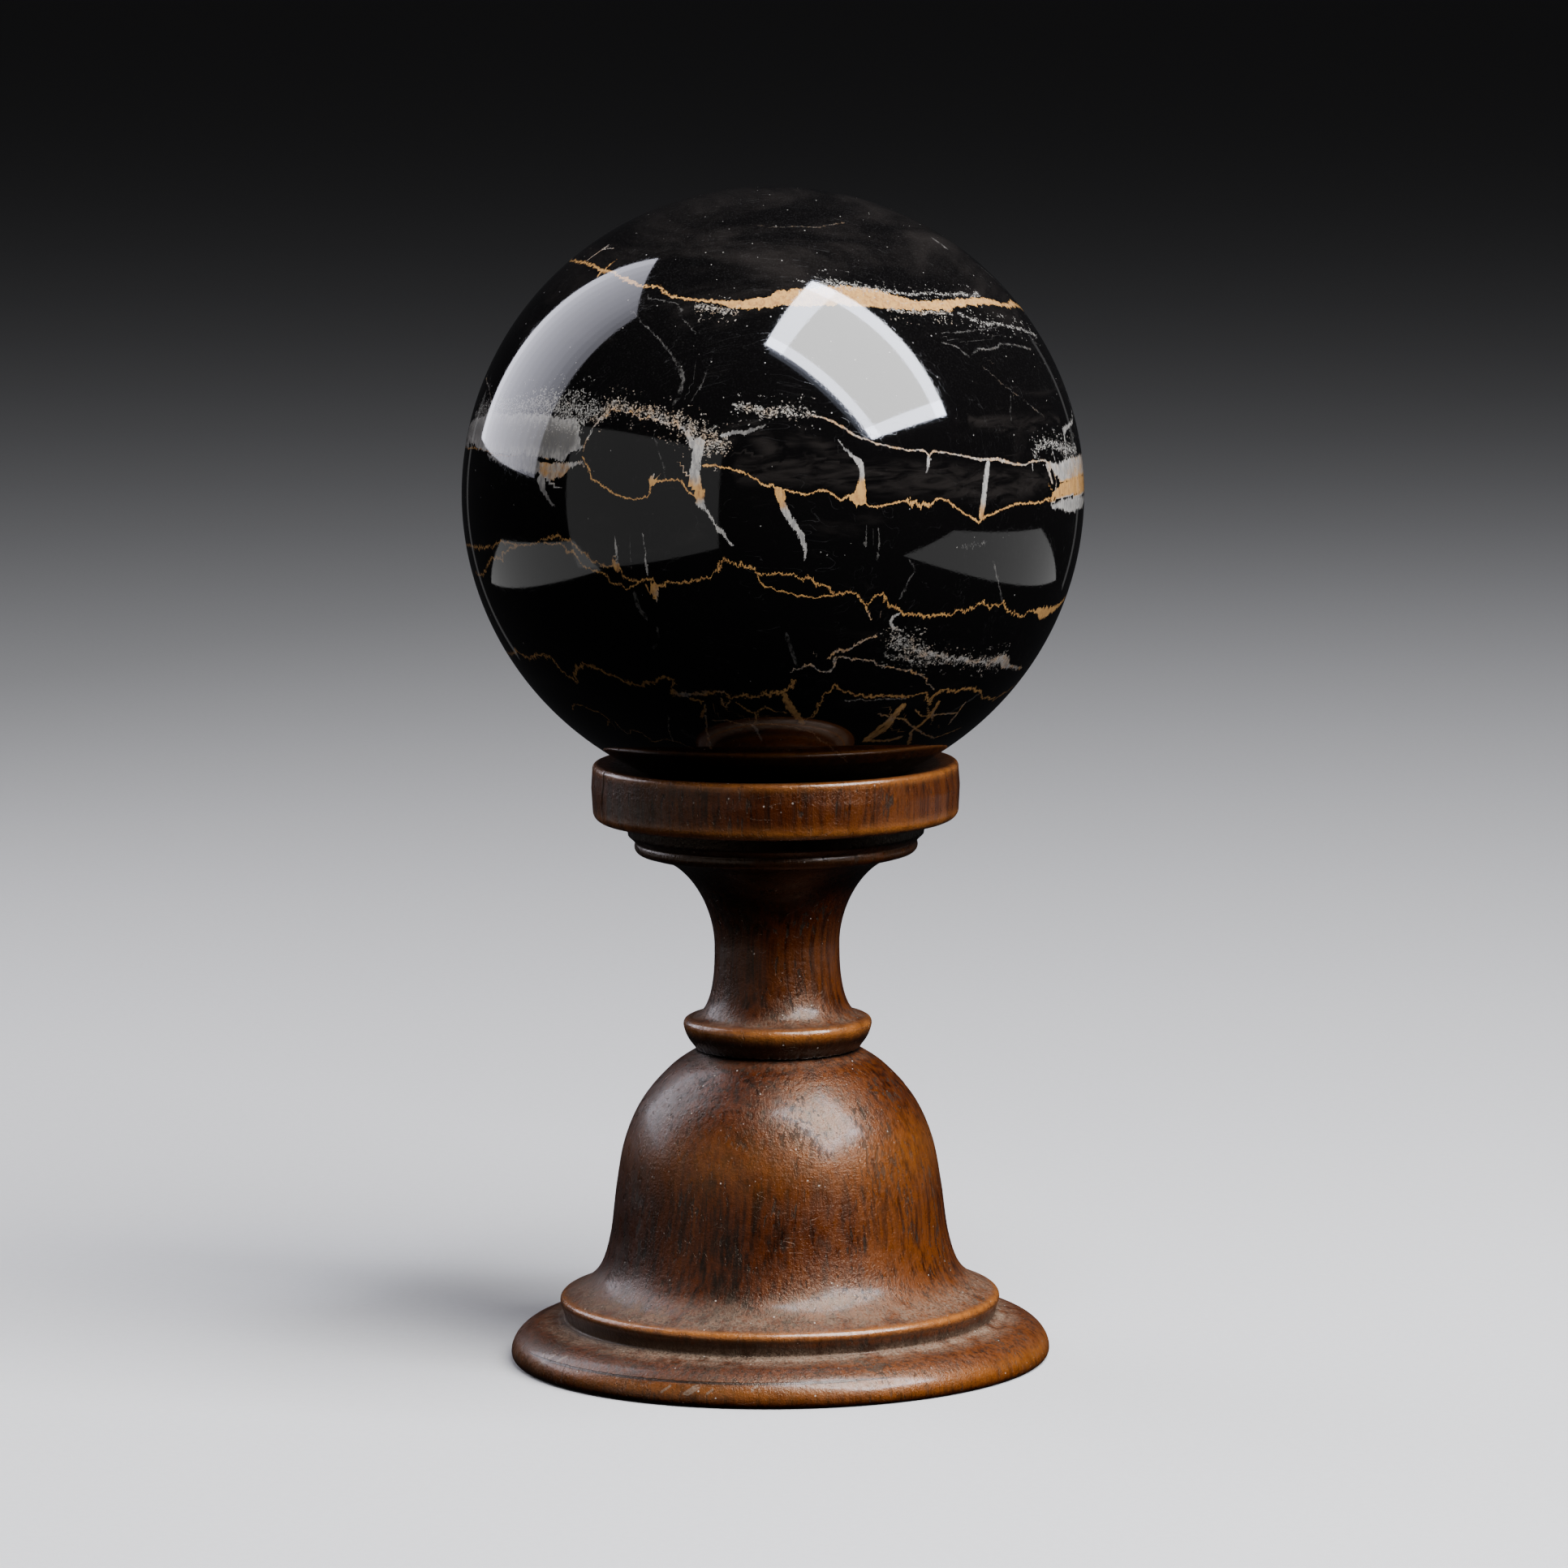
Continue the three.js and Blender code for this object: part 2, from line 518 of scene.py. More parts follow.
def hairline_scratches() -> bpy.types.NodeTree:
    """Hairline scratches: thin level lines of noise stretched along two slanting directions.

    Returns:
        The group.
    """
    tree, w, given, leave = new_group("hairline_scratches", ("Place", "Rarity"), ("Mask",))
    found = []
    for turn in ((0.6, 0.9, 0.4), (2.1, 0.3, 1.3)):
        turned = w.add("ShaderNodeMapping")
        turned.inputs["Rotation"].default_value = turn
        turned.inputs["Scale"].default_value = (0.05, 1.0, 0.35)
        w.feed(given["Place"], turned.inputs["Vector"])
        lines = w.math("ABSOLUTE", w.ripple(turned.outputs[0], 0.9, 1.0))
        where = w.noise(given["Place"], 0.09 + 0.03 * turn[0], 2.0)
        thin = w.span(lines, 0.004, 0.0)
        found.append(w.times(thin, w.math("GREATER_THAN", where, given["Rarity"])))
    w.feed(w.math("MAXIMUM", *found), leave.inputs["Mask"])
    return tree


def banded_strand() -> bpy.types.NodeTree:
    """A band round a line: full where Half, less Thin and the distance shifted by the teeth, is above 0.

    Returns:
        The group.
    """
    tree, w, given, leave = new_group(
        "banded_strand", ("Distance", "Half", "Jag", "Teeth", "Thin", "Grain", "Soft"), ("Mask", "Inside"))
    shifted = w.plus(given["Distance"], w.times(given["Teeth"], given["Jag"]))
    reach = w.minus(given["Half"], given["Thin"])
    inside = w.minus(reach, w.math("ABSOLUTE", shifted))
    ragged = w.plus(inside, given["Grain"])
    mask = w.span(ragged, w.times(given["Soft"], -1.0), given["Soft"])
    w.feed(w.times(mask, w.span(given["Half"], 0.0, 0.05)), leave.inputs["Mask"])
    w.feed(inside, leave.inputs["Inside"])
    return tree


def upright_grain() -> bpy.types.NodeTree:
    """Wood grain that runs up the block: fibres, long dark pores, stains and slow clouds of colour.

    Returns:
        The group.
    """
    tree, w, given, leave = new_group(
        "upright_grain", ("Place",), ("Clouds", "Streaks", "Fibres", "Pores", "Stains"))
    sway = w.noise_node(given["Place"], 0.03, 2.0).outputs["Color"]
    sway = w.vector("MULTIPLY", w.vector("SUBTRACT", sway, (0.5,) * 3), (5.0, 5.0, 0.0))
    swayed = w.vector("ADD", given["Place"], sway)
    w.feed(w.drawn_noise(swayed, (0.055, 0.055, 0.022), 3.0, 0.55), leave.inputs["Clouds"])
    w.feed(w.drawn_noise(swayed, (0.8, 0.8, 0.022), 3.0, 0.7), leave.inputs["Streaks"])
    w.feed(w.drawn_noise(swayed, (1.7, 1.7, 0.05), 2.0, 0.6), leave.inputs["Fibres"])
    pore = w.drawn_noise(swayed, (1.15, 1.15, 0.2), 3.0, 0.65)
    crowd = w.drawn_noise(swayed, (0.12, 0.12, 0.06), 2.0)
    w.feed(w.span(w.plus(pore, w.times(crowd, 0.6)), 0.925, 0.97), leave.inputs["Pores"])
    stain = w.drawn_noise(swayed, (0.3, 0.3, 0.09), 4.0, 0.7)
    w.feed(w.span(stain, 0.56, 0.74), leave.inputs["Stains"])
    return tree


@dataclass(frozen=True)
class Effects:
    """The shader groups that more than one material uses, each built once."""

    specks: bpy.types.NodeTree = field(default_factory=fleck_scatter)
    scratches: bpy.types.NodeTree = field(default_factory=hairline_scratches)
    strand: bpy.types.NodeTree = field(default_factory=banded_strand)
    grain: bpy.types.NodeTree = field(default_factory=upright_grain)


def start_material(name: str) -> tuple:
    """A new material: the material, its Wiring and its Principled BSDF.

    Args:
        name: the material's name.
    Returns:
        The three of them.
    """
    material = bpy.data.materials.new(name)
    material.use_nodes = True
    tree = material.node_tree
    tree.nodes.clear()
    wires = Wiring(tree)
    surface = wires.add("ShaderNodeBsdfPrincipled")
    output = wires.add("ShaderNodeOutputMaterial")
    tree.links.new(surface.outputs[0], output.inputs["Surface"])
    return material, wires, surface


# ---------------------------------------------------------------- wood


@dataclass(frozen=True)
class WoodMasks:
    """The sockets, most of them 0 to 1, that a piece of wood's colour, gloss and relief are made from."""

    place: Socket
    grain: dict
    edge: Socket
    painted_shade_and_light: Socket
    glue: Socket
    nick: Socket
    gouge: Socket
    scratch: Socket
    flecks: Socket
    powder: Socket
    film: Socket


@dataclass(frozen=True)
class WoodFinish:
    """Turned hardwood under old shellac: orange to dark by its grain, darker or lighter by painted shading
    and light.
    """

    name: str
    bright: tuple = (0.09, 0.021, 0.0017)
    middle: tuple = (0.046, 0.0085, 0.001)
    dark: tuple = (0.012, 0.0028, 0.001)
    ink: tuple = (0.004, 0.0025, 0.002)
    # orange of the rubbed edges, and of the painted highlight along them
    rubbed_and_highlit: tuple = (0.34, 0.115, 0.022)
    dust: tuple = (0.15, 0.102, 0.068)
    lint: tuple = (0.5, 0.44, 0.37)
    dust_depth: float = 0.65
    smoothest: float = 0.24
    roughest: float = 0.4
    dusty_roughness: float = 0.85
    pore_roughness: float = 0.7
    rubbed_roughness: float = 0.2
    relief_metres: float = 0.00016
    specular_tint: tuple = (1.0, 0.76, 0.54, 1.0)

    def build(self, effects: Effects) -> bpy.types.Material:
        """Makes the material.

        Args:
            effects: the shared shader groups.
        Returns:
            The material.
        """
        material, w, surface = start_material(self.name)
        masks = self.masks(w, effects)
        w.feed(self.colour(w, masks), surface.inputs["Base Color"])
        w.feed(self.roughness(w, masks), surface.inputs["Roughness"])
        w.feed(self.shellac(w, masks), surface.inputs["Coat Weight"])
        w.feed(w.bump(self.relief(w, masks), self.relief_metres), surface.inputs["Normal"])
        surface.inputs["IOR"].default_value = 1.5
        surface.inputs["Specular IOR Level"].default_value = 0.45
        surface.inputs["Specular Tint"].default_value = self.specular_tint
        surface.inputs["Coat Roughness"].default_value = 0.2
        surface.inputs["Coat IOR"].default_value = 1.5
        return material

    def masks(self, w: Wiring, effects: Effects) -> WoodMasks:
        """Reads the piece's attributes and places the shared effects.

        Args:
            w: the material's wiring.
            effects: the shared shader groups.
        Returns:
            The sockets.
        """
        place = w.millimetres()
        edge, cranny, painted_shade_and_light, up, nick, glue = (
            w.attribute(name).outputs["Fac"] for name in ("edge", "cranny", "painted_shade_and_light", "up", "nick", "glue"))
        distance, half, jag = w.parts(w.attribute("cut").outputs["Vector"])
        teeth, ragged = w.ripple(place, 0.7, 3.0), w.times(w.ripple(place, 2.5, 2.0), 0.15)
        gouge = w.group(effects.strand, Distance=distance, Half=half, Jag=jag, Teeth=teeth, Grain=ragged,
                        Soft=0.06)["Mask"]
        powder = w.noise(place, 1.9, 2.0, 0.8)
        drift = w.noise(place, 0.22, 4.0, 0.6)
        settled = w.times(w.span(up, 0.35, 0.95), w.span(drift, 0.25, 0.75, 0.35, 1.0))
        film = w.math("MAXIMUM", w.times(settled, 0.22), w.times(cranny, w.span(drift, 0.2, 0.6)))
        film = w.times(w.times(film, w.minus(1.0, edge)), self.dust_depth, True)
        film = w.times(film, w.span(powder, 0.32, 0.68, 0.35, 1.45), True)
        return WoodMasks(
            place=place, grain=w.group(effects.grain, Place=place), edge=edge, painted_shade_and_light=painted_shade_and_light, glue=glue,
            nick=w.span(nick, 0.55, 0.8), gouge=gouge,
            scratch=w.group(effects.scratches, Place=place, Rarity=0.58)["Mask"],
            flecks=w.group(effects.specks, Place=place, Rarity=0.9, Size=0.2)["Mask"],
            powder=powder, film=film)

    def colour(self, w: Wiring, m: WoodMasks) -> Socket:
        """Lays the colours: bare wood, grain, painted shading and light, stains, rubbed edges with a painted
        highlight, dust, scratches, gouges and glue.

        Args:
            w: the material's wiring.
            m: the piece's masks.
        Returns:
            The colour.
        """
        tone = w.plus(w.times(m.grain["Clouds"], 0.7), w.times(m.grain["Streaks"], 0.75))
        # painted shade and painted light: the attribute darkens the wood, or lightens it where it is below 0
        tone = w.minus(w.minus(tone, 0.12), m.painted_shade_and_light)
        wood = w.mix(w.span(tone, 0.28, 0.55), self.dark, self.middle)
        wood = w.mix(w.span(tone, 0.5, 0.82), wood, self.bright)
        fibre = w.times(w.span(m.grain["Fibres"], 0.3, 0.7, 0.6, 1.4),
                        w.span(m.grain["Streaks"], 0.3, 0.7, 0.4, 1.55))
        wood = w.mix(1.0, wood, w.mix(fibre, BLACK, WHITE), "MULTIPLY")
        wood = w.mix(w.times(m.grain["Stains"], 0.6), wood, self.ink)
        wood = w.mix(w.times(m.grain["Pores"], 0.85), wood, self.ink)
        # edges lightened towards orange: partly rubbed wear, partly a painted highlight
        wear_and_highlight = w.times(m.edge, w.span(w.noise(m.place, 0.35, 3.0), 0.25, 0.6, 0.45, 1.0))
        wood = w.mix(w.times(wear_and_highlight, 0.7), wood, self.rubbed_and_highlit)
        wood = w.mix(m.film, wood, self.dust)
        wood = w.mix(w.times(m.flecks, 0.75), wood, self.lint)
        marks = w.math("MAXIMUM", w.times(m.scratch, 0.35), w.times(m.nick, 0.8))
        wood = w.mix(marks, wood, self.dust)
        wood = w.mix(w.times(m.gouge, 0.9), wood, self.ink)
        return w.mix(m.glue, wood, self.ink)

    def roughness(self, w: Wiring, m: WoodMasks) -> Socket:
        """Patchy shellac, dull where there is dust or a pore, and smooth on the rubbed edges.

        Args:
            w: the material's wiring.
            m: the piece's masks.
        Returns:
            The roughness.
        """
        patches = w.span(w.noise(m.place, 0.4, 4.0, 0.65), 0.3, 0.7)
        rough = w.between(patches, self.smoothest, self.roughest)
        rough = w.between(m.film, rough, self.dusty_roughness)
        rough = w.between(w.times(m.edge, 0.6), rough, self.rubbed_roughness)
        return w.between(m.grain["Pores"], rough, self.pore_roughness)

    def shellac(self, w: Wiring, m: WoodMasks) -> Socket:
        """How much clear coat is left: most on edges and glue, little under dust, and broken up.

        Args:
            w: the material's wiring.
            m: the piece's masks.
        Returns:
            The coat's weight.
        """
        coat = w.times(w.between(m.edge, 0.3, 1.0), w.span(m.film, 0.0, 0.5, 1.0, 0.05))
        coat = w.times(coat, w.span(w.noise(m.place, 0.8, 4.0, 0.75), 0.35, 0.6, 0.35, 1.0))
        return w.math("MAXIMUM", m.glue, coat)

    def relief(self, w: Wiring, m: WoodMasks) -> Socket:
        """The height of the fibres, dust and dents, less the pores, scratches and gouges.

        Args:
            w: the material's wiring.
            m: the piece's masks.
        Returns:
            The height.
        """
        height = w.times(m.grain["Fibres"], 0.35)
        dents = w.noise(m.place, 1.5, 3.0, 0.75)
        for raised, share in ((m.grain["Streaks"], 0.25), (m.powder, 0.2), (dents, 1.0)):
            height = w.plus(height, w.times(raised, share))
        for sunk, share in ((m.grain["Pores"], 0.7), (m.scratch, 0.2), (m.gouge, 0.5)):
            height = w.minus(height, w.times(sunk, share))
        return height


def soften(per_row: Array, passes: int) -> Array:
    """Averages each value with its neighbours, passes times.

    Args:
        per_row: a value for each profile row.
        passes: how many times.
    Returns:
        The softened values.
    """
    for _ in range(passes):
        padded = np.pad(per_row, 1, mode="edge")
        per_row = (padded[:-2] + 2 * padded[1:-1] + padded[2:]) / 4
    return per_row


def facing_up(profile: Array) -> Array:
    """How much each profile row looks up: the height part of the outward normal.

    Args:
        profile: radius and height of each row.
    Returns:
        A number for each row, -1 to 1.
    """
    slope = np.gradient(profile, axis=0)
    length = np.maximum(np.hypot(slope[:, 0], slope[:, 1]), 1e-6)
    return soften(-slope[:, 0] / length, 2)


def bands(profile: Array, *marks: tuple) -> Array:
    """Weights near named places on a profile.

    The weight is the greatest of weight x e^-(distance / spread)^2 over the marks.

    Args:
        profile: radius and height of each row.
        marks: radius, height, spread and weight of each place.
    Returns:
        A weight for each row.
    """
    found = np.zeros(len(profile))
    for radius, height, spread, weight in marks:
        distance = np.hypot(profile[:, 0] - radius, profile[:, 1] - height)
        found = np.maximum(found, weight * near(distance, 0.0, spread))
    return found


@dataclass
class BellFoot:
    """The lower turning: a round-edged foot, a flange with a rounded arris, and a bell."""

    foot_radius: float = 52.8
    edge_round: float = 1.2
    widest_z: float = 1.4
    shoulder_radius: float = 45.3
    round_height: float = 5.75
    hollow_depth: float = 0.62
    flange_foot: tuple = (42.2, 8.1)
    flange: tuple = (43.15, 11.5)
    flange_round: float = 1.25
    stations: tuple = ((42.3, 12.6), (38.1, 14.8), (35.1, 18.2), (33.15, 24.5), (31.85, 34.3),
                       (30.15, 43.1), (26.7, 50.8), (21.0, 57.3), (15.8, 60.85))
    socket: tuple = (7.3, 46.7)
    unround: tuple = ((2, 0.10, 0.7), (5, 0.04, 2.0))
    groove_z: float = 4.6
    groove_wave: float = 0.35
    groove_half: float = 0.26
    groove_from: float = -78.0
    groove_to: float = 32.0
    groove_jag: float = 0.12
    nick_half: float = 0.4
    nicks: tuple = ((-63, 3.0, -59, 5.6), (-64, 5.2, -60.5, 3.2), (-57, 4.6, -55, 5.8),
                    (-25.5, 2.6, -23.6, 3.9), (-20.5, 2.6, -18, 4.2), (-19.4, 2.5, -17.2, 3.9),
                    (-15.6, 2.7, -14, 3.8), (-6, 3.6, -5, 4.6))

    def profile(self) -> Array:
        """Radius and height from the middle of the underside, up the outside, to the socket's floor.

        Returns:
            The points, as rows.
        """
        edge = self.foot_radius - self.edge_round
        hollow = ((self.shoulder_radius + self.flange_foot[0]) / 2, self.flange_foot[1] - self.hollow_depth)
        foot = arc((self.shoulder_radius, self.widest_z),
                   (self.foot_radius - self.shoulder_radius, self.round_height), 4, 80, 30)
        flange = arc((self.flange[0] - self.flange_round, self.flange[1]),
                     (self.flange_round,) * 2, -40, 62, 14)
        top = self.stations[-1]
        lip = (self.socket[0], top[1])
        return np.concatenate([
            [(0, 0)], line((0, 0), (edge, 0), 8), [(edge, 0)],
            arc((edge, self.widest_z), (self.edge_round, self.widest_z), -80, 0, 7), foot,
            line(tuple(foot[-1]), hollow, 4), [hollow],
            line(hollow, self.flange_foot, 4), [self.flange_foot],
            line(self.flange_foot, tuple(flange[0]), 7), flange,
            spline(np.array(self.stations), 13)[2:],
            line(top, lip, 5), [lip], [self.socket], [(0, self.socket[1])]])

    def build(self, finish: bpy.types.Material) -> bpy.types.Object:
        """Builds the turning round its CAD node and dresses it.

        Args:
            finish: the wood material.
        Returns:
            The piece.
        """
        low, high = (np.array(corner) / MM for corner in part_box("bell_foot"))
        profile = self.profile() * [(high[0] - low[0]) / 2 / self.foot_radius, 1.0] + [0, low[2]]
        shell = Shell("foot_turning", profile, around((-112, 2.4), (112, 0.85), (180, 2.4)))
        rows = profile[1:-1]
        off_round = wobble(np.radians(shell.azimuths)[None, :], self.unround)
        shell.lift = np.where(rows[:, :1] > 25, off_round * np.clip((rows[:, 1:] - 0.5) / 6, 0, 1), 0.0)
        shell.layers = self.layers(shell)
        piece = shell.build(finish)
        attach(piece, "root")
        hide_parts("bell_foot")
        return piece

    def layers(self, shell: Shell) -> dict:
        """The vertex attributes that the wood finish reads, by name.

        Args:
            shell: the turning's surface.
        Returns:
            A number, or a row of three, for each vertex.
        """
        profile, places = shell.profile, shell.places()
        joint = np.where(profile[:, 0] > self.socket[0], near(profile[:, 1], self.stations[-1][1], 0.25), 0.0)
        # bands where the colour is lightened: rubbed arrises and rounds, with a painted highlight along them
        edges = bands(profile, (self.flange[0] - 0.2, self.flange[1] + 0.8, 0.9, 1.0),
                      (self.foot_radius - 0.8, self.widest_z + 1.6, 1.6, 0.5), (*self.stations[5], 6, 0.25))
        crannies = bands(profile, (self.flange_foot[0] + 0.9, self.flange_foot[1] - 0.5, 1.7, 1.3),
                         (44.8, 7.2, 2.6, 0.7), (39.6, 14.0, 4.4, 0.75), (17.5, 60.2, 1.2, 0.3))
        return {
            "edge": shell.spread_rows(edges),
            "cranny": shell.spread_rows(crannies),
            "up": shell.spread_rows(facing_up(profile) * np.where(profile[:, 1] > 40, 0.3, 1.0)),
            # painted shade and painted light, read as darker or lighter wood
            "painted_shade_and_light": self.shading(places),
            "glue": shell.spread_rows(joint),
            "nick": self.nicked(places),
            "cut": self.groove(places)}

    def groove(self, places: Array) -> Array:
        """The fine groove part of the way round the foot: distance from it, half-width and jag, as rows.

        Args:
            places: radius, azimuth and height of each place, as rows.
        Returns:
            A row for each place.
        """
        level = self.groove_z + self.groove_wave * np.sin(np.radians(places[:, 1]) * 1.3 + 0.6)
        distance = places[:, 2] - level
        run = np.minimum(places[:, 1] - self.groove_from, self.groove_to - places[:, 1])
        half = np.clip(run / 20, 0, 1) * self.groove_half - 0.06 - np.clip(np.abs(distance) - 2, 0, 1)
        half = np.where(places[:, 0] < self.flange_foot[0] + 1, -1.0, half)
        return np.stack([distance, half, np.full(len(half), self.groove_jag)], 1)

    def nicked(self, places: Array) -> Array:
        """How deep in a nick each place is. A nick runs straight from one azimuth and height to another.

        Args:
            places: radius, azimuth and height of each place, as rows.
        Returns:
            A number for each place, 0 to 1.
        """
        per_degree = math.radians(1) * self.foot_radius
        at = places[:, 1:] * [per_degree, 1]
        found = np.zeros(len(places))
        for azimuth, height, azimuth_end, height_end in self.nicks:
            start = np.array([azimuth * per_degree, height])
            run = np.array([azimuth_end * per_degree, height_end]) - start
            share = np.clip((at - start) @ run / (run @ run), 0, 1)
            distance = np.linalg.norm(at - start - share[:, None] * run, axis=1)
            found = np.maximum(found, near(distance, 0.0, self.nick_half))
        return np.where(places[:, 0] > self.shoulder_radius, found, 0.0)

    def shading(self, places: Array) -> Array:
        """Painted shading and light: how much darker the wood is drawn, orange at the right front, darker at
        the left.

        Args:
            places: radius, azimuth and height of each place, as rows.
        Returns:
            A number for each place.
        """
        radius, azimuth, height = places.T
        # painted shade at the left and the front, painted light at the right front
        left = 0.16 * near(azimuth, -58, 34) + 0.07 * near(azimuth, -15, 18)
        right = -0.09 * near(azimuth, 50, 24)
        red = 0.12 * near(azimuth, 12, 12) * near(height, 30, 14)
        # painted shade in the fillet under the flange and along the foot's base
        fillet = 0.45 * near(height, self.flange_foot[1] + 0.9, 1.1) * (radius < self.flange[0])
        base = 0.25 * np.clip(1 - height / 1.3, 0, 1)
        return left + right + red + fillet + base


@dataclass
class CupStem:
    """The upper turning: a tenon, a ring, a waisted stem, a bead, a cove and the cup's collar."""

    tenon: tuple = (7.0, 47.0)
    base: tuple = (15.8, 61.15)
    ring: tuple = (18.4, 65.2)
    ring_side: tuple = ((16.7, 62.1), (17.6, 63.4), (18.2, 64.9),
                        (18.4, 66.0), (18.1, 66.75), (17.6, 67.1))
    ring_top: tuple = (17.3, 67.25)
    waist: tuple = (12.2, 81.5)
    lower_power: float = 2.5
    upper_power: float = 1.85
    bead: tuple = (27.6, 101.0)
    bead_round: float = 1.5
    bead_foot: tuple = (25.2, 99.2)
    cove: tuple = (28.8, 103.2)
    cove_top: tuple = (29.3, 106.1)
    collar: tuple = (35.85, 112.6)
    collar_round: float = 2.0
    side_taper: float = 0.25
    rim_round: float = 1.0
    rim_z: float = 117.3
    dish: tuple = (33.4, 117.05)
    seat_radius: float = 25.0
    seat_gap: float = 0.3
    unround: tuple = ((2, 0.04, 2.2), (6, 0.015, 0.0))
    glue_half: float = 0.5
    glue_beads: tuple = ((23, 0.4), (37, 1.9), (58, 3.1), (91, 0.8))
    crack_azimuth: float = -69.0
    crack_half: float = 0.2
    crack_depth: float = 0.35
    crack_jag: float = 0.5

    def profile(self, sphere: "MarbleSphere") -> Array:
        """The outline from the tenon's end, up the outside, over the rim and down to the seat's middle.

        Args:
            sphere: the stone that the seat follows.
        Returns:
            Radius and height of each point, as rows.
        """
        edge = self.collar[0] - self.side_taper
        foot = arc((edge - self.collar_round, self.cove_top[1] + self.collar_round),
                   (self.collar_round,) * 2, -90, -4, 10)
        rim = arc((edge - self.rim_round, self.rim_z - self.rim_round), (self.rim_round,) * 2, 4, 90, 10)
        start = math.degrees(math.asin(self.seat_radius / sphere.radius)) - 90
        seat = arc((0, sphere.centre_z), (sphere.radius + self.seat_gap, sphere.half_height + self.seat_gap),
                   start, -90, 14)
        seat[-1, 0] = 0
        base, shoulder = self.base, (self.tenon[0], self.base[1])
        return np.concatenate([
            [(0, self.tenon[1])], [self.tenon], [shoulder], line(shoulder, base, 4),
            spline(np.array((base, *self.ring_side)), 6),
            flare(self.waist, self.ring_top, self.lower_power, 34)[::-1],
            flare(self.waist, self.bead_foot, self.upper_power, 46)[1:],
            arc((self.bead[0] - self.bead_round, self.bead[1]), (self.bead_round,) * 2, -66, 34, 12),
            line((self.bead[0] - 0.2, self.bead[1] + 0.9), self.cove, 6), [self.cove],
            line(self.cove, self.cove_top, 6), [self.cove_top],
            line(self.cove_top, tuple(foot[0]), 5), foot,
            line(tuple(foot[-1]), self.collar, 9), [self.collar], line(self.collar, tuple(rim[0]), 8), rim,
            line(tuple(rim[-1]), self.dish, 3), [self.dish], line(self.dish, tuple(seat[0]), 9), seat])

    def build(self, finish: bpy.types.Material, sphere: "MarbleSphere") -> bpy.types.Object:
        """Builds the turning round its CAD node and dresses it.

        Args:
            finish: the wood material.
            sphere: the stone that sits in it.
        Returns:
            The piece.
        """
        low, high = (np.array(corner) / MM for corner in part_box("cup_stem"))
        profile = self.profile(sphere) * [(high[0] - low[0]) / 2 / self.collar[0], 1.0]
        profile += [0, low[2] - self.tenon[1]]
        azimuths = around((-112, 2.4), (-73, 0.9), (-65, 0.3), (112, 0.9), (180, 2.4))
        shell = Shell("cup_turning", profile, azimuths)
        places = shell.places()
        crack, glue = self.crack(places), self.glue(places)
        shell.lift = self.lift(shell, crack, glue)
        # bands where the colour is lightened: rubbed arrises and rounds, with a painted highlight along them
        edges = bands(profile, (self.ring[0], self.ring[1] + 0.9, 1.3, 1.0),
                      (self.collar[0] - 0.3, self.rim_z - 0.6, 0.8, 1.0),
                      (self.collar[0] - 0.8, self.cove_top[1] + 1.1, 1.3, 0.8),
                      (self.bead[0], self.bead[1], 1.0, 0.15))
        crannies = bands(profile, (self.ring_top[0] - 1.2, self.ring_top[1] + 0.3, 2.2, 0.6))
        shell.layers = {
            "edge": shell.spread_rows(edges),
            "cranny": shell.spread_rows(crannies),
            "up": shell.spread_rows(facing_up(profile)),
            # painted shade and painted light, read as darker or lighter wood
            "painted_shade_and_light": self.shading(places),
            "glue": np.clip(glue * 1.4, 0, 1),
            "cut": crack}
        piece = shell.build(finish)
        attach(piece, "root")
        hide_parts("cup_stem")
        return piece

    def on_collar(self, places: Array) -> Array:
        """Whether each place is on the collar's side or rim."""
        return (places[:, 2] > self.cove_top[1] + 0.5) & (places[:, 0] > self.dish[0] - 1.5)

    def crack(self, places: Array) -> Array:
        """The upright check in the collar: distance from it, half-width and jag, as rows.

        Args:
            places: radius, azimuth and height of each place, as rows.
        Returns:
            A row for each place.
        """
        lean = 0.6 * np.sin((places[:, 2] - self.cove_top[1]) * 0.55)
        distance = (places[:, 1] - self.crack_azimuth) * math.radians(1) * places[:, 0] + lean
        drawn = self.on_collar(places) & (np.abs(distance) < 4)
        half = np.where(drawn, self.crack_half - np.clip(np.abs(distance) - 2, 0, 1), -1.0)
        return np.stack([distance, half, np.full(len(half), self.crack_jag)], 1)

    def glue(self, places: Array) -> Array:
        """How much glue has squeezed out of the joint under the ring, most of it at the front.

        Args:
            places: radius, azimuth and height of each place, as rows.
        Returns:
            A number for each place, 0 to 1.
        """
        radius, azimuth, height = places.T
        amount = (0.35 + 0.65 * near(azimuth, 14, 30)) * (radius > 15)
        return near(height, self.base[1], self.glue_half) * amount

    def lift(self, shell: Shell, crack: Array, glue: Array) -> Array:
        """How far each place stands off the profile: unroundness, the check's dent and the glue's beads.

        Args:
            shell: the turning's surface.
            crack: the check's rows.
            glue: the glue's weights.
        Returns:
            Millimetres, by profile row and azimuth column.
        """
        angle = np.radians(shell.azimuths)[None, :]
        rows = shell.profile[1:-1]
        outside = (rows[:, :1] > 20) & (rows[:, 1:] < self.rim_z - 0.4)
        dent = self.crack_depth * near(crack[:, 0], 0, 0.22) * self.on_collar(shell.places())
        beads = sum(np.sin(angle * turns + start) for turns, start in self.glue_beads)
        squeezed = shell.as_grid(glue) * (0.4 + 0.13 * beads)
        return np.where(outside, wobble(angle, self.unround), 0.0) - shell.as_grid(dent) + squeezed

    def shading(self, places: Array) -> Array:
        """Painted shading and light: how much darker the wood is drawn, under the collar, in the joint and in
        the dish.

        Args:
            places: radius, azimuth and height of each place, as rows.
        Returns:
            A number for each place.
        """
        radius, azimuth, height = places.T
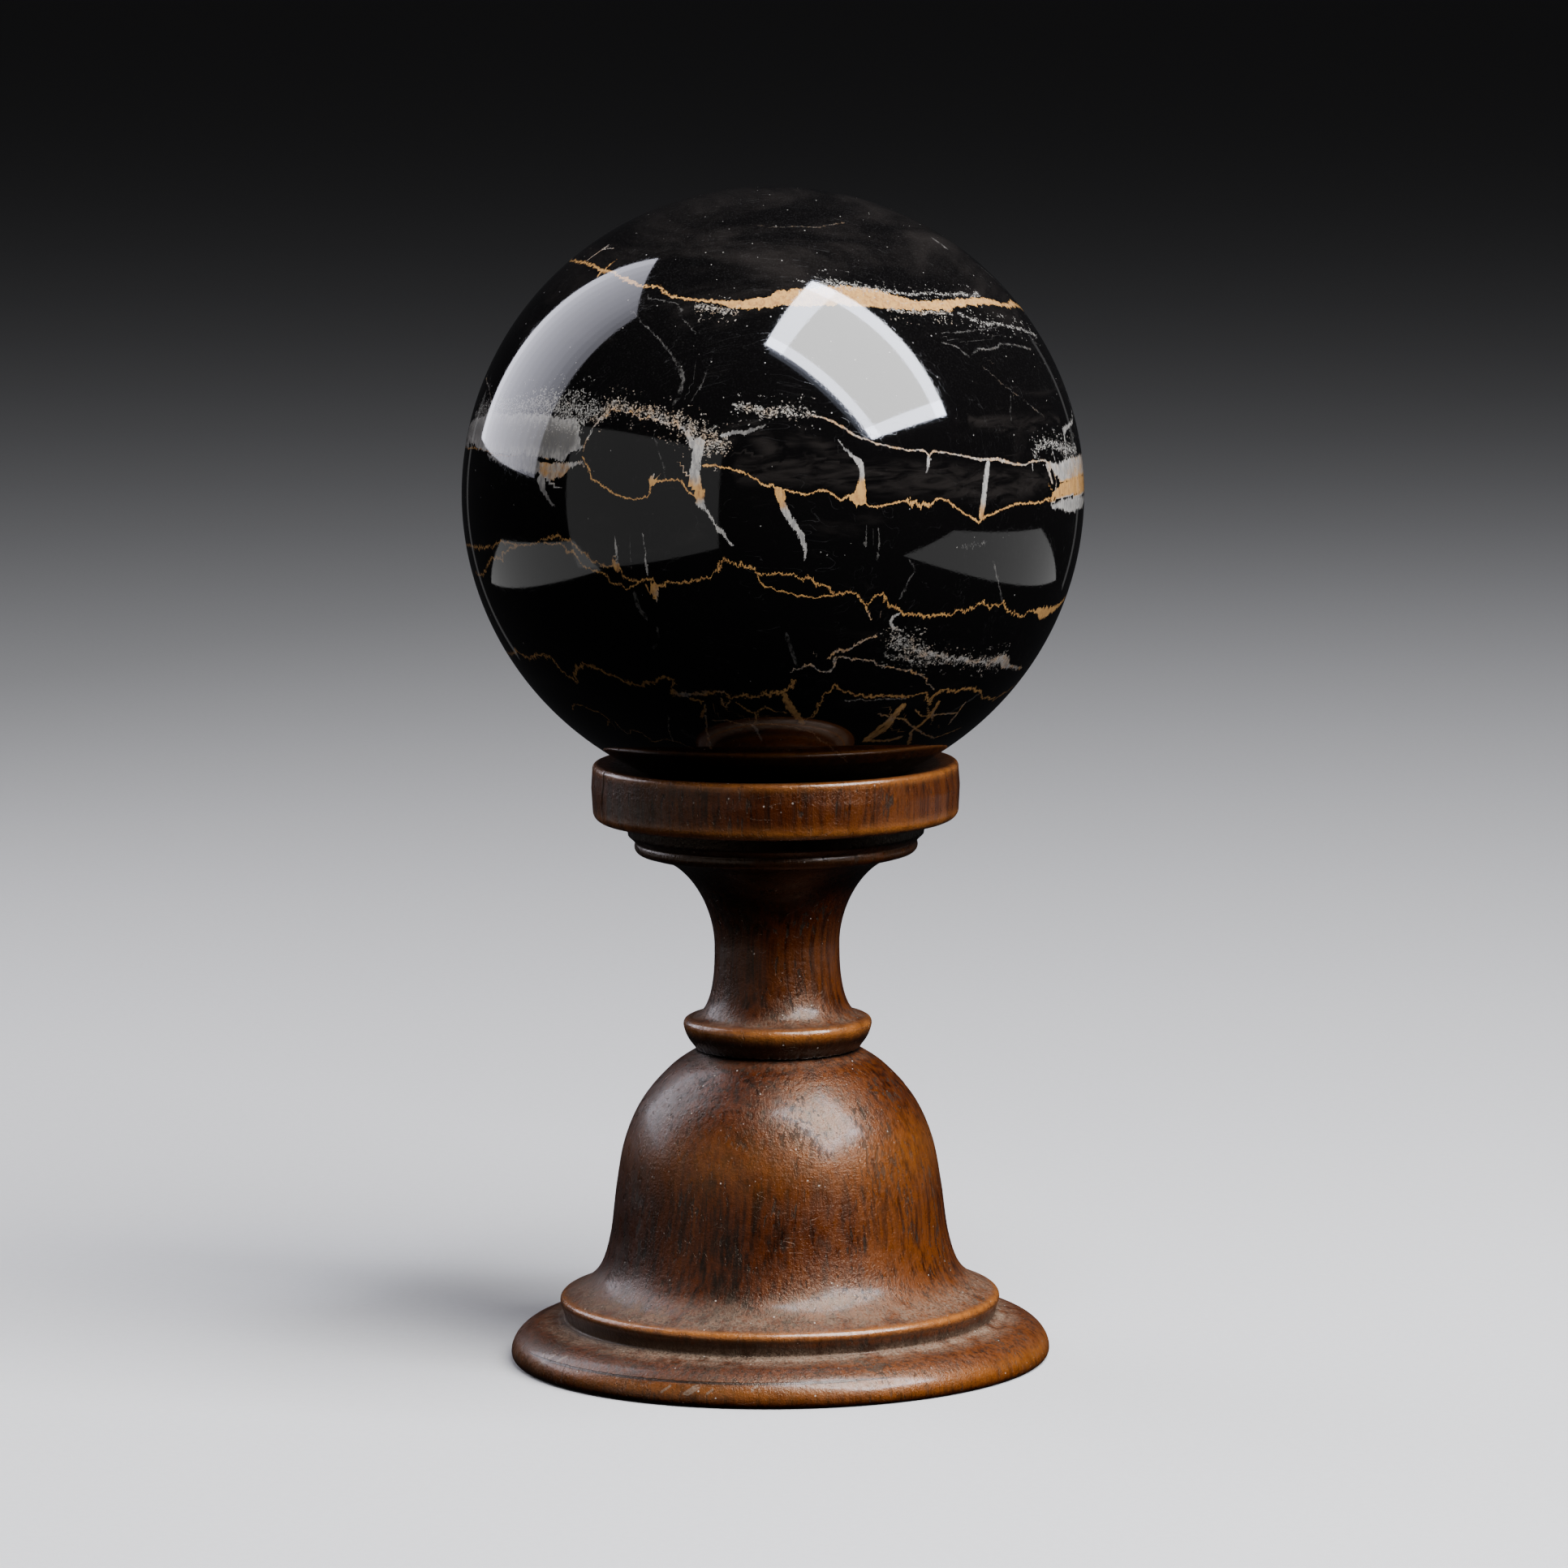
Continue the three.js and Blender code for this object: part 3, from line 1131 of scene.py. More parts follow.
        # painted shade at the left, painted light at the right
        left = 0.10 * near(azimuth, -50, 35)
        right = -0.10 * near(azimuth, 50, 30)
        # painted shade under the collar, below the ring by the joint, and in the dish
        under = 0.35 * np.clip((height - 80) / 16, 0, 1) * (height < self.cove_top[1] + 0.2)
        foot = 0.45 * np.clip((self.ring[1] + 0.3 - height) / 2, 0, 1)
        dish = 0.45 * (radius < self.dish[0] - 1) * (height > self.cove[1])
        return left + right + under + foot + dish


# ---------------------------------------------------------------- marble


@dataclass(frozen=True)
class Strand:
    """One vein. path holds its places as "longitude,latitude[,half-width[,tone]]" in degrees.

    Spaces part the places. A place with no half-width or tone keeps the strand's own. tone runs from -1,
    smoky grey, through 0, white, to 1, gold. jag is how far the vein's teeth shift it, in millimetres.
    """

    path: str
    half: float = 0.2
    tone: float = 1.0
    jag: float = 0.3

    def places(self) -> Array:
        """Longitude, latitude, half-width and tone of each place, as rows."""
        rows = [[float(part) for part in place.split(",")] for place in self.path.split()]
        return np.array([(*row, *(self.half, self.tone)[len(row) - 2:]) for row in rows])


class Layer(Enum):
    """Veins that share one vertex attribute. Crossing veins go into different layers.

    The speckled veins are crowds of separate grains, and the smoke is soft grey bands in the black.
    """

    MAIN = "veins_main"
    BRANCH = "veins_branch"
    CROSS = "veins_cross"
    FAINT = "veins_faint"
    SPECKLED = "veins_speckled"
    SMOKE = "smoke_bands"


VEINS = {
    Layer.MAIN: (
        # the gold band over the top
        Strand("-85,50,.35 -75,50.5 -68,50.5 -60,49.9 -54,48.8,.5 -48,48.7 -44,47.7 -41,46.7,.6 "
               "-36.5,45.7 -33,45.4 -30,45.7 -28,44.5 -26,43.4 -22,42.7 -18.5,42.4 -14,42.3,.45 "
               "-10,41.6,.9 -5,41.6,1.2 0,41.9,1.4 3,43,2 8,43,2.2 12,43.1,2.2 16,43.2,2.3 20,43,2.4 "
               "25,42.6,2.3 30,41.5,1.95 35,40.5,1.2 40,40.1,1.1 45,39.9,1.3 50,40.3,.95 55,40.3,.9 "
               "60,40.2,.9 65,39.7,.75 70,38.8,.5 75,38.2,.6 80,38.5,.8 85,37.5,.6 90,36.5,.5 105,38,.4 "
               "120,41,.6 140,40,.9 160,44,.5 180,46,.4 200,47,.7 220,49,.4 240,51,.4 260,50.5,.3 "
               "275,50,.35", 0.35, 1.0, 0.5),
        # the cloud, the ring and the clear upper strand along the ladder
        Strand("-86,12.5,1.5,0 -76,13.6,2.6,0 -70,13.8,3.6,-.05 -60,14,3.9,-.1 -50,14.3,4,-.15 "
               "-46,14.2,3.9,-.3 -42,13.9,4,-.26 -40,13.9,4,-.3 -38.9,13.4,1.9,-.3 -37.4,12.8,.4,-.3",
               0.5, 0.0, 0.5),
        Strand("-37,12,.22,.6 -36.3,14.6,.25,.4 -35.6,16,.3,.3 -34.1,18.1,.3,.5 -32.5,19.4 -31.4,19.8 "
               "-29.8,19.8 -27.9,19.6 -26,18.8 -25.1,18.3 -23.4,18.6 -21.6,18.1 -19.5,17.7 "
               "-18.3,17.8,.25,.4 -16.6,16.6,.35,.3 -15.3,15,.6,.1 -14.3,13.5,.9,.05", 0.24, 0.5, 0.5),
        Strand("7.5,19.1,.2 10.8,18.2 12.5,17.1 15,15.5 17,14.5 19.5,13.6 22,13 25.2,12.2 28.5,12 "
               "29.8,10.9 30.5,11.8 33.6,11.3 37.3,10.5 41,9.6,.36 43,9.5,.36 45.3,9.5,.4 47.7,8.8,.4 "
               "50,8.2,.36 52.8,7.9 55.5,8.3 58.7,8.3 61.5,7.7", 0.26, 0.4, 0.2),
        # the lower strand of the ladder
        Strand("-12.5,9.9,.45 -10,10 -7.2,9.5 -5,8.8 -3.7,8 -2.8,7.3 -1.2,6.3 0,6.5 .5,5.8 2.3,5.6 "
               "4.5,5.3 6,4.8 8,5.4 10,5.3 11,4.5 12.5,3.6 13.8,4.8 15.3,3.8 16.2,3.6 17.3,2.5 19.5,2.3 "
               "21.3,2.7 24.2,3.1 24.8,2.4 25.2,4 25.7,1.5 26.2,3.2 27.2,1.6 27.6,2.9 28.3,1.9 28.7,2.7 "
               "29.3,1.6 30.2,3 31.3,3.1 33,2.6 34.2,1.6 36.3,.3 38.3,-.8 39.8,-1.8 40.6,-1.1 41,-.5 "
               "42.2,-.7 44.2,0 46.7,.5 50,1 53.3,.9 57.5,.7 61,1.5", 0.26, 0.9, 0.3),
        # the toothed strand below the middle
        Strand("-82,-8.3 -74,-8 -68,-7.6 -63.5,-7 -60,-5.9 -57,-5.7 -52.7,-5.9 -50,-5.6 -48,-5.2 "
               "-47,-4.6 -45.8,-4.7 -44.8,-4.1 -43.5,-3.8 -42,-3.5 -41.7,-4.2 -40.2,-4.1 -39.3,-4.2 "
               "-38.5,-5.2 -37,-6 -36,-6.6 -35.3,-7.6 -34,-8 -33,-8.3 -31.8,-8.9 -30.7,-8.7 "
               "-29.6,-8.6,.6 -28.4,-9.4 -28,-10.6 -26.5,-11 -25.2,-11.5 -23.8,-10.9 -22.6,-10.8 "
               "-22.2,-11.7 -20.4,-11.9 -20,-11.3 -17.8,-11.3 -15.6,-10.9 -13.7,-10.8 -12.5,-10.2 "
               "-10.6,-9.7 -9.8,-8.8 -9.4,-7.3 -8.6,-6.7 -7.4,-7.5 -6.4,-8 -5.9,-7.6 -5.3,-8.3 -4.3,-7.7 "
               "-3.8,-8.3 -3,-9.4 -2,-9.6 -.8,-9.3 0,-9.4 2,-9.6 4.4,-9.9 6,-10.3 7.2,-10.7 8.1,-11.6 "
               "9,-11.6 10.3,-12.5 11.2,-13.4 13.7,-13.3 15.5,-13.5 16,-14.4 16.8,-15.3 17.6,-15.4 "
               "18.4,-14.6 19.3,-14 20.5,-13.9 21,-15.2 22,-16.3 23,-16.2 24.2,-17.5 25.2,-17.9 "
               "28.5,-18.3,.35 31,-18.5,.35 33.5,-18.6,.35 36,-18.8 36.5,-17.8 38.4,-18.2 39.9,-17.7 "
               "41.5,-17.2 43,-16.7 44.8,-17.7 45.7,-18.5 46.2,-17.2 47.6,-18 48.6,-17.2 49.9,-18.4 "
               "50.9,-19.3 53,-19.7 55.6,-20.7 57.3,-20.8 58.6,-20.2 60.4,-20.1 62.5,-20,.6 66,-21,1.4 "
               "70,-21,.8 85,-19 100,-21 120,-16,.4 140,-18 160,-14,.5 180,-15 200,-11 220,-12,.4 240,-9 "
               "260,-9.5 278,-8.3", 0.26, 0.95, 0.55),
        # the low gold strand
        Strand("-70.7,-28.7 -68.5,-28 -66,-28.7 -62.8,-28.8 -59,-28.3 -56.5,-28.2 -53.4,-27.6 "
               "-52.3,-28.9 -51.8,-30.9 -50.2,-31.9 -48.3,-33.2 -47.2,-30.7 -44.8,-29.4 -42.7,-28.8 "
               "-40,-29 -38.3,-29.8 -36.7,-30.7 -34.3,-31.6 -32,-32.4 -30,-32.7 -28,-32.2 -26.3,-31.8 "
               "-24.7,-30.9 -22.7,-30.7 -21.3,-31 -22,-32.7 -22.6,-33.8,.5,.6 -21.5,-34.7,.6,.5 "
               "-19.2,-34.7,.6,.4 -17.2,-34.2,.6,.4 -15.3,-34.2,.5,.6 -13.3,-33.6 -11.4,-33.6,.4,.5 "
               "-9.7,-34.6 -7.8,-34.7 -4.8,-34.7 -2,-34.1 0,-33.8 1.7,-33.6 3,-33 4.2,-31.6 4.7,-31,.2",
               0.38, 0.85, 0.75),
        Strand("7.2,-40.8 8.7,-40 9.5,-38.2 10.3,-36.2 11,-34.5 12.4,-33.4 12.6,-32.2 13.6,-33.3 "
               "16,-34.1 18.2,-35 20.7,-35.3,.4 23.7,-35.3,.4 27,-35.6 30.2,-35.9 32.7,-36 35.7,-35.3 "
               "37,-37 38.7,-38.9 38.1,-36.6 39,-35.2 42,-35.4 44.5,-36 47.3,-35.5,.45 50.5,-36,.4 "
               "53.8,-36.7 57.5,-38.6 66,-40 80,-37 100,-39 120,-35 145,-37,.5 170,-33 195,-34,.4 "
               "220,-30 245,-31 265,-28 280,-30 289.3,-28.7", 0.3, 0.8, 0.6),
    ),
    Layer.BRANCH: (
        Strand("-68,51 -66.5,53.5 -66,56", 0.25, 0.3),
        Strand("-66,54.4 -60,55", 0.2, 0.3),
        Strand("-54,48.8,.5 -53.6,47.3,.2", 0.4),
        Strand("-53,49 -52,52,.15", 0.25),
        # the lower half of the ring
        Strand("-37,11 -35.3,9 -34.5,7 -33,6.5 -31.5,5.6 -30,4.8 -28,4.2 -26,3.7 -24.5,4 -23,4.2 -22.3,5 "
               "-22.2,6.2 -21.8,7,.6 -20.2,7.2 -18.3,7.4 -16.5,7.2 -15.3,5.6 -14,4.6", 0.24, 1.0, 0.3),
        Strand("-22.2,6.8,.5 -21.8,8.6,.2,.3", 0.4, 0.8),
        # the knot's stem and its gold foot
        Strand("-13.4,14.6,1.1,0 -13.7,12,1.1,0 -14,9,1,.05 -13.7,7.2,1.1,.5 -13.3,5.4,1.15,.95 "
               "-13.2,4.2,1,.9 -12.9,3.2,.8,.1 -12.5,2.4,.3,0", 1.0, 0.2, 0.4),
        Strand("-66,9.6,.3,-.3 -60,9.1,.8,-.35 -54,9.1,1.5,-.4 -49,8.9,1.7,-.4 -48,8.4,1.5,-.4",
               0.8, -0.3, 0.5),
        # the short drop under the lower strand
        Strand("1,5.6,1.1,1 1.5,3.6,.85,.7 2.2,2,.8,.2 3.4,0,.72,0 4.6,-2,.65,0 5.3,-3.8,.5,0 "
               "5.9,-5.4,.35,0 5.4,-7.5,.12,0", 0.6, 0.1, 0.4),
        # the bars of the ladder
        Strand("12,14.6,.12,-.5 14,12.3,.4,-.4 16.1,10.2,.65,-.1 16.3,8.5,.6,.2 15.9,6.6,.7,.85 "
               "15.6,4.8,1.2,1 15.3,3.5,1.9,.9", 0.8, 0.5, 0.35),
        Strand("29.6,10.7,.6,0 29.2,8.9,.4,-.3 28.6,7.7,.12,-.6", 0.4, 0.0, 0.25),
        Strand("42.8,9.3,.62,0 42,6.6,.66 41.2,3.7,.68 40.9,1.9,.75,.1 40.6,0,.7,.6 40.3,-1,.5,.9",
               0.7, 0.0, 0.2),
        Strand("55.3,8.3,.36 55.2,6.2,.1", 0.3, 0.0, 0.2),
        # the block at the right: white over gold over white, with a hollow left edge
        Strand("60,8,.3,.3 62,6.9,.9,.2 64.4,6.1,1.5,.15 67,5.7,2.1,.2 72,5.5,2.3,.35 78,5.4,2.3,.4 "
               "84,5.3,2.2,.3 90,5,1.8,.2 97,5.6,.7,.1 104,7,.3,0", 1.5, 0.2, 0.6),
        Strand("59.3,.8,.2,1 61,1,.4,.95 63.4,1.9,1,.9 66,2.3,1.4,.9 72,2.3,1.7,.85 80,2.1,1.8,.8 "
               "88,2.2,1.6,.7 96,3,1.6,.6 104,4,1.4,.6 115,6,.8,.5 130,8,.5,.6 148,6,.4,.8 165,9,.6,.5 "
               "185,8,.9,.4 205,5,.4,.7 225,8,.5,.5 245,10,.7,.3 262,9.5,.4,.2 280,10.5,.8,.1",
               1.5, 0.8, 0.6),
        Strand("61,0,.3,0 64.5,-.3,.7,0 68,-.5,1.3,-.05 73,-.9,1.5,-.1 80,-1.2,1.2,-.1 86,-1,.5,0",
               1.0, 0.0, 0.7),
        Strand("62.5,5.9 63.9,3.9 62.8,2.3,.15", 0.2, 0.4, 0.2),
        # under-strand and lower eye of the toothed strand
        Strand("-46,-5.2 -44.2,-5.1 -42,-5 -40.5,-5.5 -40.2,-6.5 -38.8,-6.1 -38.2,-7.3 -37,-8.2 -36,-9.2 "
               "-34.5,-9.5 -32.6,-9.9 -31.5,-10.8 -31.5,-11.7 -30.5,-12.1 -29,-11.9 -28,-12.9 -27,-12.5 "
               "-25.5,-11.8", 0.24, 1.0, 0.5),
        Strand("-3,-9.4 -2.6,-10.9 -1.5,-11.8 0,-12.1 2,-13 4,-13.4 6,-13.9 8.2,-14.1 10,-13.9 11.5,-13.6",
               0.22, 0.9, 0.3),
        Strand("-77,-13.3 -73,-13.3 -69.5,-12.3 -67.7,-11 -64,-9.4 -61,-8.8 -59.7,-9.3 -59.5,-8.1 -57,-7 "
               "-53.7,-6", 0.26, 0.95, 0.6),
        # branches of the low strand
        Strand("-12,-35 -11.3,-38 -10,-35.5", 0.3, 0.7, 0.4),
        Strand("-19,-35.5 -16.5,-36 -15.8,-38 -17.5,-40", 0.4, 0.9),
        Strand("2,-34,.4 3.5,-37,1 6,-41,.5 6.8,-42,.3", 0.6, 0.9, 0.5),
        Strand("15.5,-36 20,-36.3 26,-36.3 31,-36.5", 0.18, 0.3, 0.4),
        # the loops at the lower right
        Strand("20.3,-21.7 19,-22.3 16.6,-23.1 15.3,-24.2 13.7,-24.8 11.8,-24.8 10.6,-26.5", 0.3, 0.5, 0.5),
        Strand("12.3,-26 14.6,-26.4 18,-26.9 20.2,-27.2 21.2,-28.1 24.8,-28.8 27.6,-29.7 29.5,-29.8 "
               "32.3,-31 34,-31.9 35.4,-33.5 37.7,-34.8", 0.22, 0.5, 0.4),
        Strand("3.3,-29.3 4,-28.4 5.6,-28.6 6.5,-27.4 8,-28 9.9,-29.1 11.6,-29.2 12.2,-27.8 12.3,-26",
               0.25, 0.4, 0.4),
        # the dim net round the bottom
        Strand("-58,-41 -55,-39.3 -52,-39.3 -48.4,-40.5 -46.8,-40.5 -45,-42.2 -47.5,-44.3", 0.24, 0.8),
        Strand("-43.5,-42.5 -43,-44.5 -42,-46.4 -39.7,-44.7 -36.5,-45.6 -35.5,-47 -35.3,-48 -31.5,-47.2 "
               "-30,-46.8 -27,-47.5 -23,-49.5", 0.22, 0.5),
        Strand("-15.5,-36.4 -16.8,-42 -18,-49.5", 0.3, 0.4),
        Strand("-5,-42 -3.3,-47,.15", 0.5, 0.1),
        Strand("31,-38 27,-44 24.5,-47.5 33,-48 36,-47", 0.5, 0.7),
        Strand("25,-40 33,-42 41,-46 50,-49 60,-47", 0.3, 0.6),
        Strand("51,-39 51,-42 51,-45", 0.35, 0.6),
        Strand("120,5.5,.6 121,-5,.4 118,-16,.2", 0.4, 0.2),
        Strand("203,5,.6 205,-4,.5 202,-11,.3", 0.4, 0.3),
        Strand("150,6,.5 153,18,.3 148,30,.2", 0.3, 0.1),
        Strand("235,-10,.4 238,-20,.3 232,-30,.4", 0.3, 0.8),
    ),
    Layer.CROSS: (
        # the gold strand under the cloud, its smudge and its tail
        Strand("-86,9.6 -82,9.7 -74,10.4 -67,10.4 -62,9.9 -58,10 -53.8,10.5 -51.3,11 -48.3,11 "
               "-45.3,10.2,.25,.6", 0.17, 0.9, 0.25),
        Strand("-47.2,8.3,1.3,.45 -45,8,1.9,.5 -42.5,8.3,1.6,.45 -40,9.4,.8,.35 -37.4,10,.4,.3 "
               "-36,9.3,.15", 1.0, 0.6, 0.5),
        Strand("-46.7,6.8,1.2,.2 -46,4.7,.75,-.4 -44.5,3.1,.5,-.5 -42.5,1.5,.12,-.5", 1.0, 0.0, 0.3),
        Strand("-9.4,15.4,.5,-.2 -7.1,16.1,.45,-.5 -4.8,16.1,.5,-.6 -2.9,16.7,.4,-.6 -1,17.6,.12,-.7",
               0.45, -0.5, 0.3),
        Strand("-83.2,23.2 -76.1,22 -70,19.4,.1", 0.16, 0.3, 0.2),
        Strand("-82.8,13.3 -77,12 -74.9,10.6", 0.14, 0.4, 0.2),
        Strand("-12.5,3,.4 -10.5,0,.28 -9.6,-1.4,.35 -9,-2,.5 -7,-4.5,.15", 0.3, 0.0, 0.3),
        Strand("-30,-7.2,.4 -29.6,-8.8,.8 -29.4,-9.8,.2", 0.6, 0.8, 0.4),
        Strand("-22.1,-11.6,.9 -22.2,-13,.8,.6 -21.9,-15.2,.15,.2", 0.6, 1.0, 0.4),
        Strand("-24,-11.6 -22.7,-14.3", 0.25, 1.0),
        Strand("-29.3,-3,.15 -29.1,-5,.35 -29.3,-7.5,.35", 0.4, 0.0, 0.3),
        Strand("-23.9,-2,.12 -23.3,-6,.2 -23.4,-8.6,.4 -23.3,-10,.2", 0.3, 0.0, 0.3),
        Strand("17.3,-16 18.5,-18.8,.15", 0.28, 0.6),
        Strand("24.2,-17.5 22.7,-18.6 22.6,-19.6 23.6,-20.9", 0.35, 0.1),
        Strand("28.5,-24.6 30.4,-26 32,-27 32.8,-25.9 35.3,-27.1 37.5,-27.3 40,-28.1 41.8,-27.9 "
               "43.8,-28.7 47.6,-29.6 51.5,-30.2 53,-29.5,.6 56,-29.7,1.1 58,-30.8,1.3 62,-32,.5 "
               "70,-33,.3", 0.35, 0.35, 0.6),
        Strand("-15.2,-41 -12,-40.6 -10,-41.3 -6.5,-41.8 -2.3,-41.5 4,-42.5 9,-44 11.3,-46 15.5,-49 "
               "24,-55", 0.22, 0.5),
        Strand("-8.5,-36 -7,-37.5 -4.5,-39 -4,-42", 0.22, 0.8),
        Strand("-4.5,-39 -2,-37 0,-38.5 3,-38.6", 0.2, 0.7),
        Strand("-26,-40 -28,-45 -28,-47.5", 0.2, 0.3),
        Strand("41,-38 41,-42 38,-46 41,-50", 0.5, 0.7),
        Strand("35,-39.5 38,-41.5 45,-41.5 51,-42", 0.3, 0.6),
        Strand("31,-38 29.5,-41 29,-44.5 24.5,-47.5", 0.8, 0.8),
        Strand("62,4,.5 60.3,7.4,.4", 0.4, 0.3, 0.2),
        Strand("84,18.5,.15 84.4,15.8,.25 79.7,13.9,.35 74,13.4,.6,-.35 71.3,13.1,.7,-.4 70.6,11,.4,-.45 "
               "70.2,8,.2,-.3", 0.8, -0.2, 0.4),
        Strand("63.8,11.3,.15 63.6,9.6 64.1,7.9", 0.2, -0.1, 0.2),
    ),
    Layer.FAINT: (
        Strand("-32,43.6 -31.5,42.6 -27.5,42.4 -23.5,41.6 -21,40", 0.22, 0.0),
        Strand("-5,63.5 -1.5,63 3,62.8 9,63 19,62.5 32,64", 0.2, 0.4),
        Strand("39.5,34 46,34 52.5,34.1 60,34.3", 0.2, 0.0),
        Strand("46,29.3 48.5,30.3 54,30 57,31 64,30 70,29", 0.3, 0.1),
        Strand("39,32.3 42.5,31 45,28.8", 0.25, 0.0),
        Strand("47.5,27 52,22.8 63,16", 0.15, 0.3),
        Strand("53,21 51,16", 0.15, 0.0),
        Strand("-35,40,.15 -28.5,36.3,.2 -25,34 -22.5,32.3 -20.5,30.3,.4 -18.7,28,.5 -17.8,25.7,.5 "
               "-18,22.7,.5 -19.3,20.7", 0.25, 0.0, 0.3),
        Strand("-22,39.6 -16.5,35", 0.18, 0.0),
        Strand("-12.5,29 -14,24.3 -15.8,21.7", 0.15, 0.0),
        Strand("70,57 70,53.5", 0.6, 0.0),
        Strand("82,48.5 86,41", 0.3, 0.0),
        Strand("80,11 83,15", 0.3, 0.0),
        Strand("-80,11 -83,15", 0.3, 0.0),
        Strand("-78,24 -72,20", 0.25, 0.0),
        Strand("-26.5,-13.5 -25.4,-17 -24.6,-18.5", 0.5, 0.0, 0.4),
        Strand("-22.5,-20 -22.6,-22 -24.5,-24.6", 0.35, 0.0),
        Strand("2.3,-21 4.5,-27.5", 0.5, 0.0, 0.2),
        Strand("25.2,-7.5 26.5,-9.5 25,-12 23.8,-15", 0.25, 0.0),
        Strand("16.7,-1 16.8,-5", 0.2, 0.0),
        Strand("19,-1.5 18.8,-7.5", 0.2, 0.0),
        Strand("44,-9 46,-13 48.6,-17", 0.3, 0.0),
        Strand("36,-5.8 38,-6 39.5,-5.5 41,-5.8 42,-5.2", 0.2, 0.0, 0.9),
        Strand("-24,-44 -19,-47.5", 0.7, 0.0),
        Strand("55,-37 47,-42", 0.4, 0.0),
        Strand("-22.5,16.5 -20,10 -19.6,7.5", 0.15, 0.0, 0.3),
        Strand("110,30 125,24 135,12", 0.3, 0.2),
        Strand("170,60 190,55 215,62", 0.3, 0.0),
        Strand("250,35 262,28 268,18", 0.3, 0.1),
        Strand("170,-25 180,-22 196,-27", 0.4, 0.0),
    ),
    Layer.SPECKLED: (
        Strand("7,44.4,.4 10,45,.7 13,45.7,1 16,46,1.1 20,45.6,.9 25,44.8,.7 30,43.5,.5", 1.0, 0.15, 0.3),
        Strand("27.5,45 30,44.2 33.5,43.2 36,42.9 38.5,43 44.5,42.8 50,42.3 53.5,42.3 58.5,41.4 "
               "61.5,42.2,.5", 0.3, 0.15, 0.2),
        Strand("28,39.8 34,38.8 40,38.5 46,38.2", 0.4, 0.4, 0.4),
        Strand("48,38 51.5,36.4 55,35.4 61,35 66,34 72,33 80,31", 0.35, 0.0, 0.3),
        # the grains over the cloud, the ring and the knot
        Strand("-80,16.5,1 -68,18.4,1.3 -60,19,1.7 -52,19.6,2.4 -46,19.7,2.9 -41,19.4,3.2 -37.5,18.8,2.6 "
               "-35,19.2,1.7", 2.0, 0.1, 0.6),
        Strand("-35.5,18.4,1.2 -33,20,1.2 -31,20.7,1 -26,19.9,1 -21,19,1.1 -17.5,17.9,1.5 -14.5,16,1.9 "
               "-11.8,14.4,2.2 -9.3,13.9,1.7 -7.8,13.8,.9", 1.0, 0.45, 0.6),
        Strand("-7.3,21.3,.4 -5.7,20.7,.6 -3.7,20.2,.7 -1.8,19.6,.8 .2,19.6,.8 1.4,19.9,.7 4.7,19.8,.8 "
               "8,19.2,.5", 0.6, 0.3, 0.5),
        Strand("56.5,9.2,.6 57.6,10.5,.8 60,11.2,.8 63,11.3,.8 66,10.8,.8 70,9.2,1 78,9,.9", 1.0, 0.0, 0.4),
        Strand("24,-20.6,.6 24.5,-23,1.6 26,-24,1.9 29,-25,1.4 32,-26.4,.9 36,-27.3,.6 41,-28.3,.6 "
               "48,-29.5,.8 56,-30,1.4", 1.2, 0.35, 0.6),
        Strand("22.3,-26 27,-26.8 29.3,-28 31.4,-28.5 33.2,-28.3 37.3,-28.5 41.3,-29", 0.5, 0.3, 0.6),
        Strand("-18,41 -12,40.2 -8,39.8", 0.6, 0.4, 0.4),
    ),
    Layer.SMOKE: (
        Strand("-9,14.5,1.5 -6.8,16.8,1.2 -4.1,17.4,1.5 -1.8,14.6,1.5 .5,12,2", 1.0, 0.0, 0.0),
        Strand("-6,9,2.4 3,9.4,2.8 10,8.6,2.6 20,7.4,3 31,6.6,3.2 42,4.8,3 52,4.6,2.8 60,4.6,1.5",
               1.0, 0.0, 0.0),
        Strand("2.9,14,1 5.5,15.6,1.2 8,14.2,1.2 10.8,12.5,1.2 14,11.6,1", 1.0, 0.0, 0.0),
        Strand("40,17,1 50,15.5,1.6 60,15,1.6 70,15,1", 1.0, 0.0, 0.0),
    ),
}


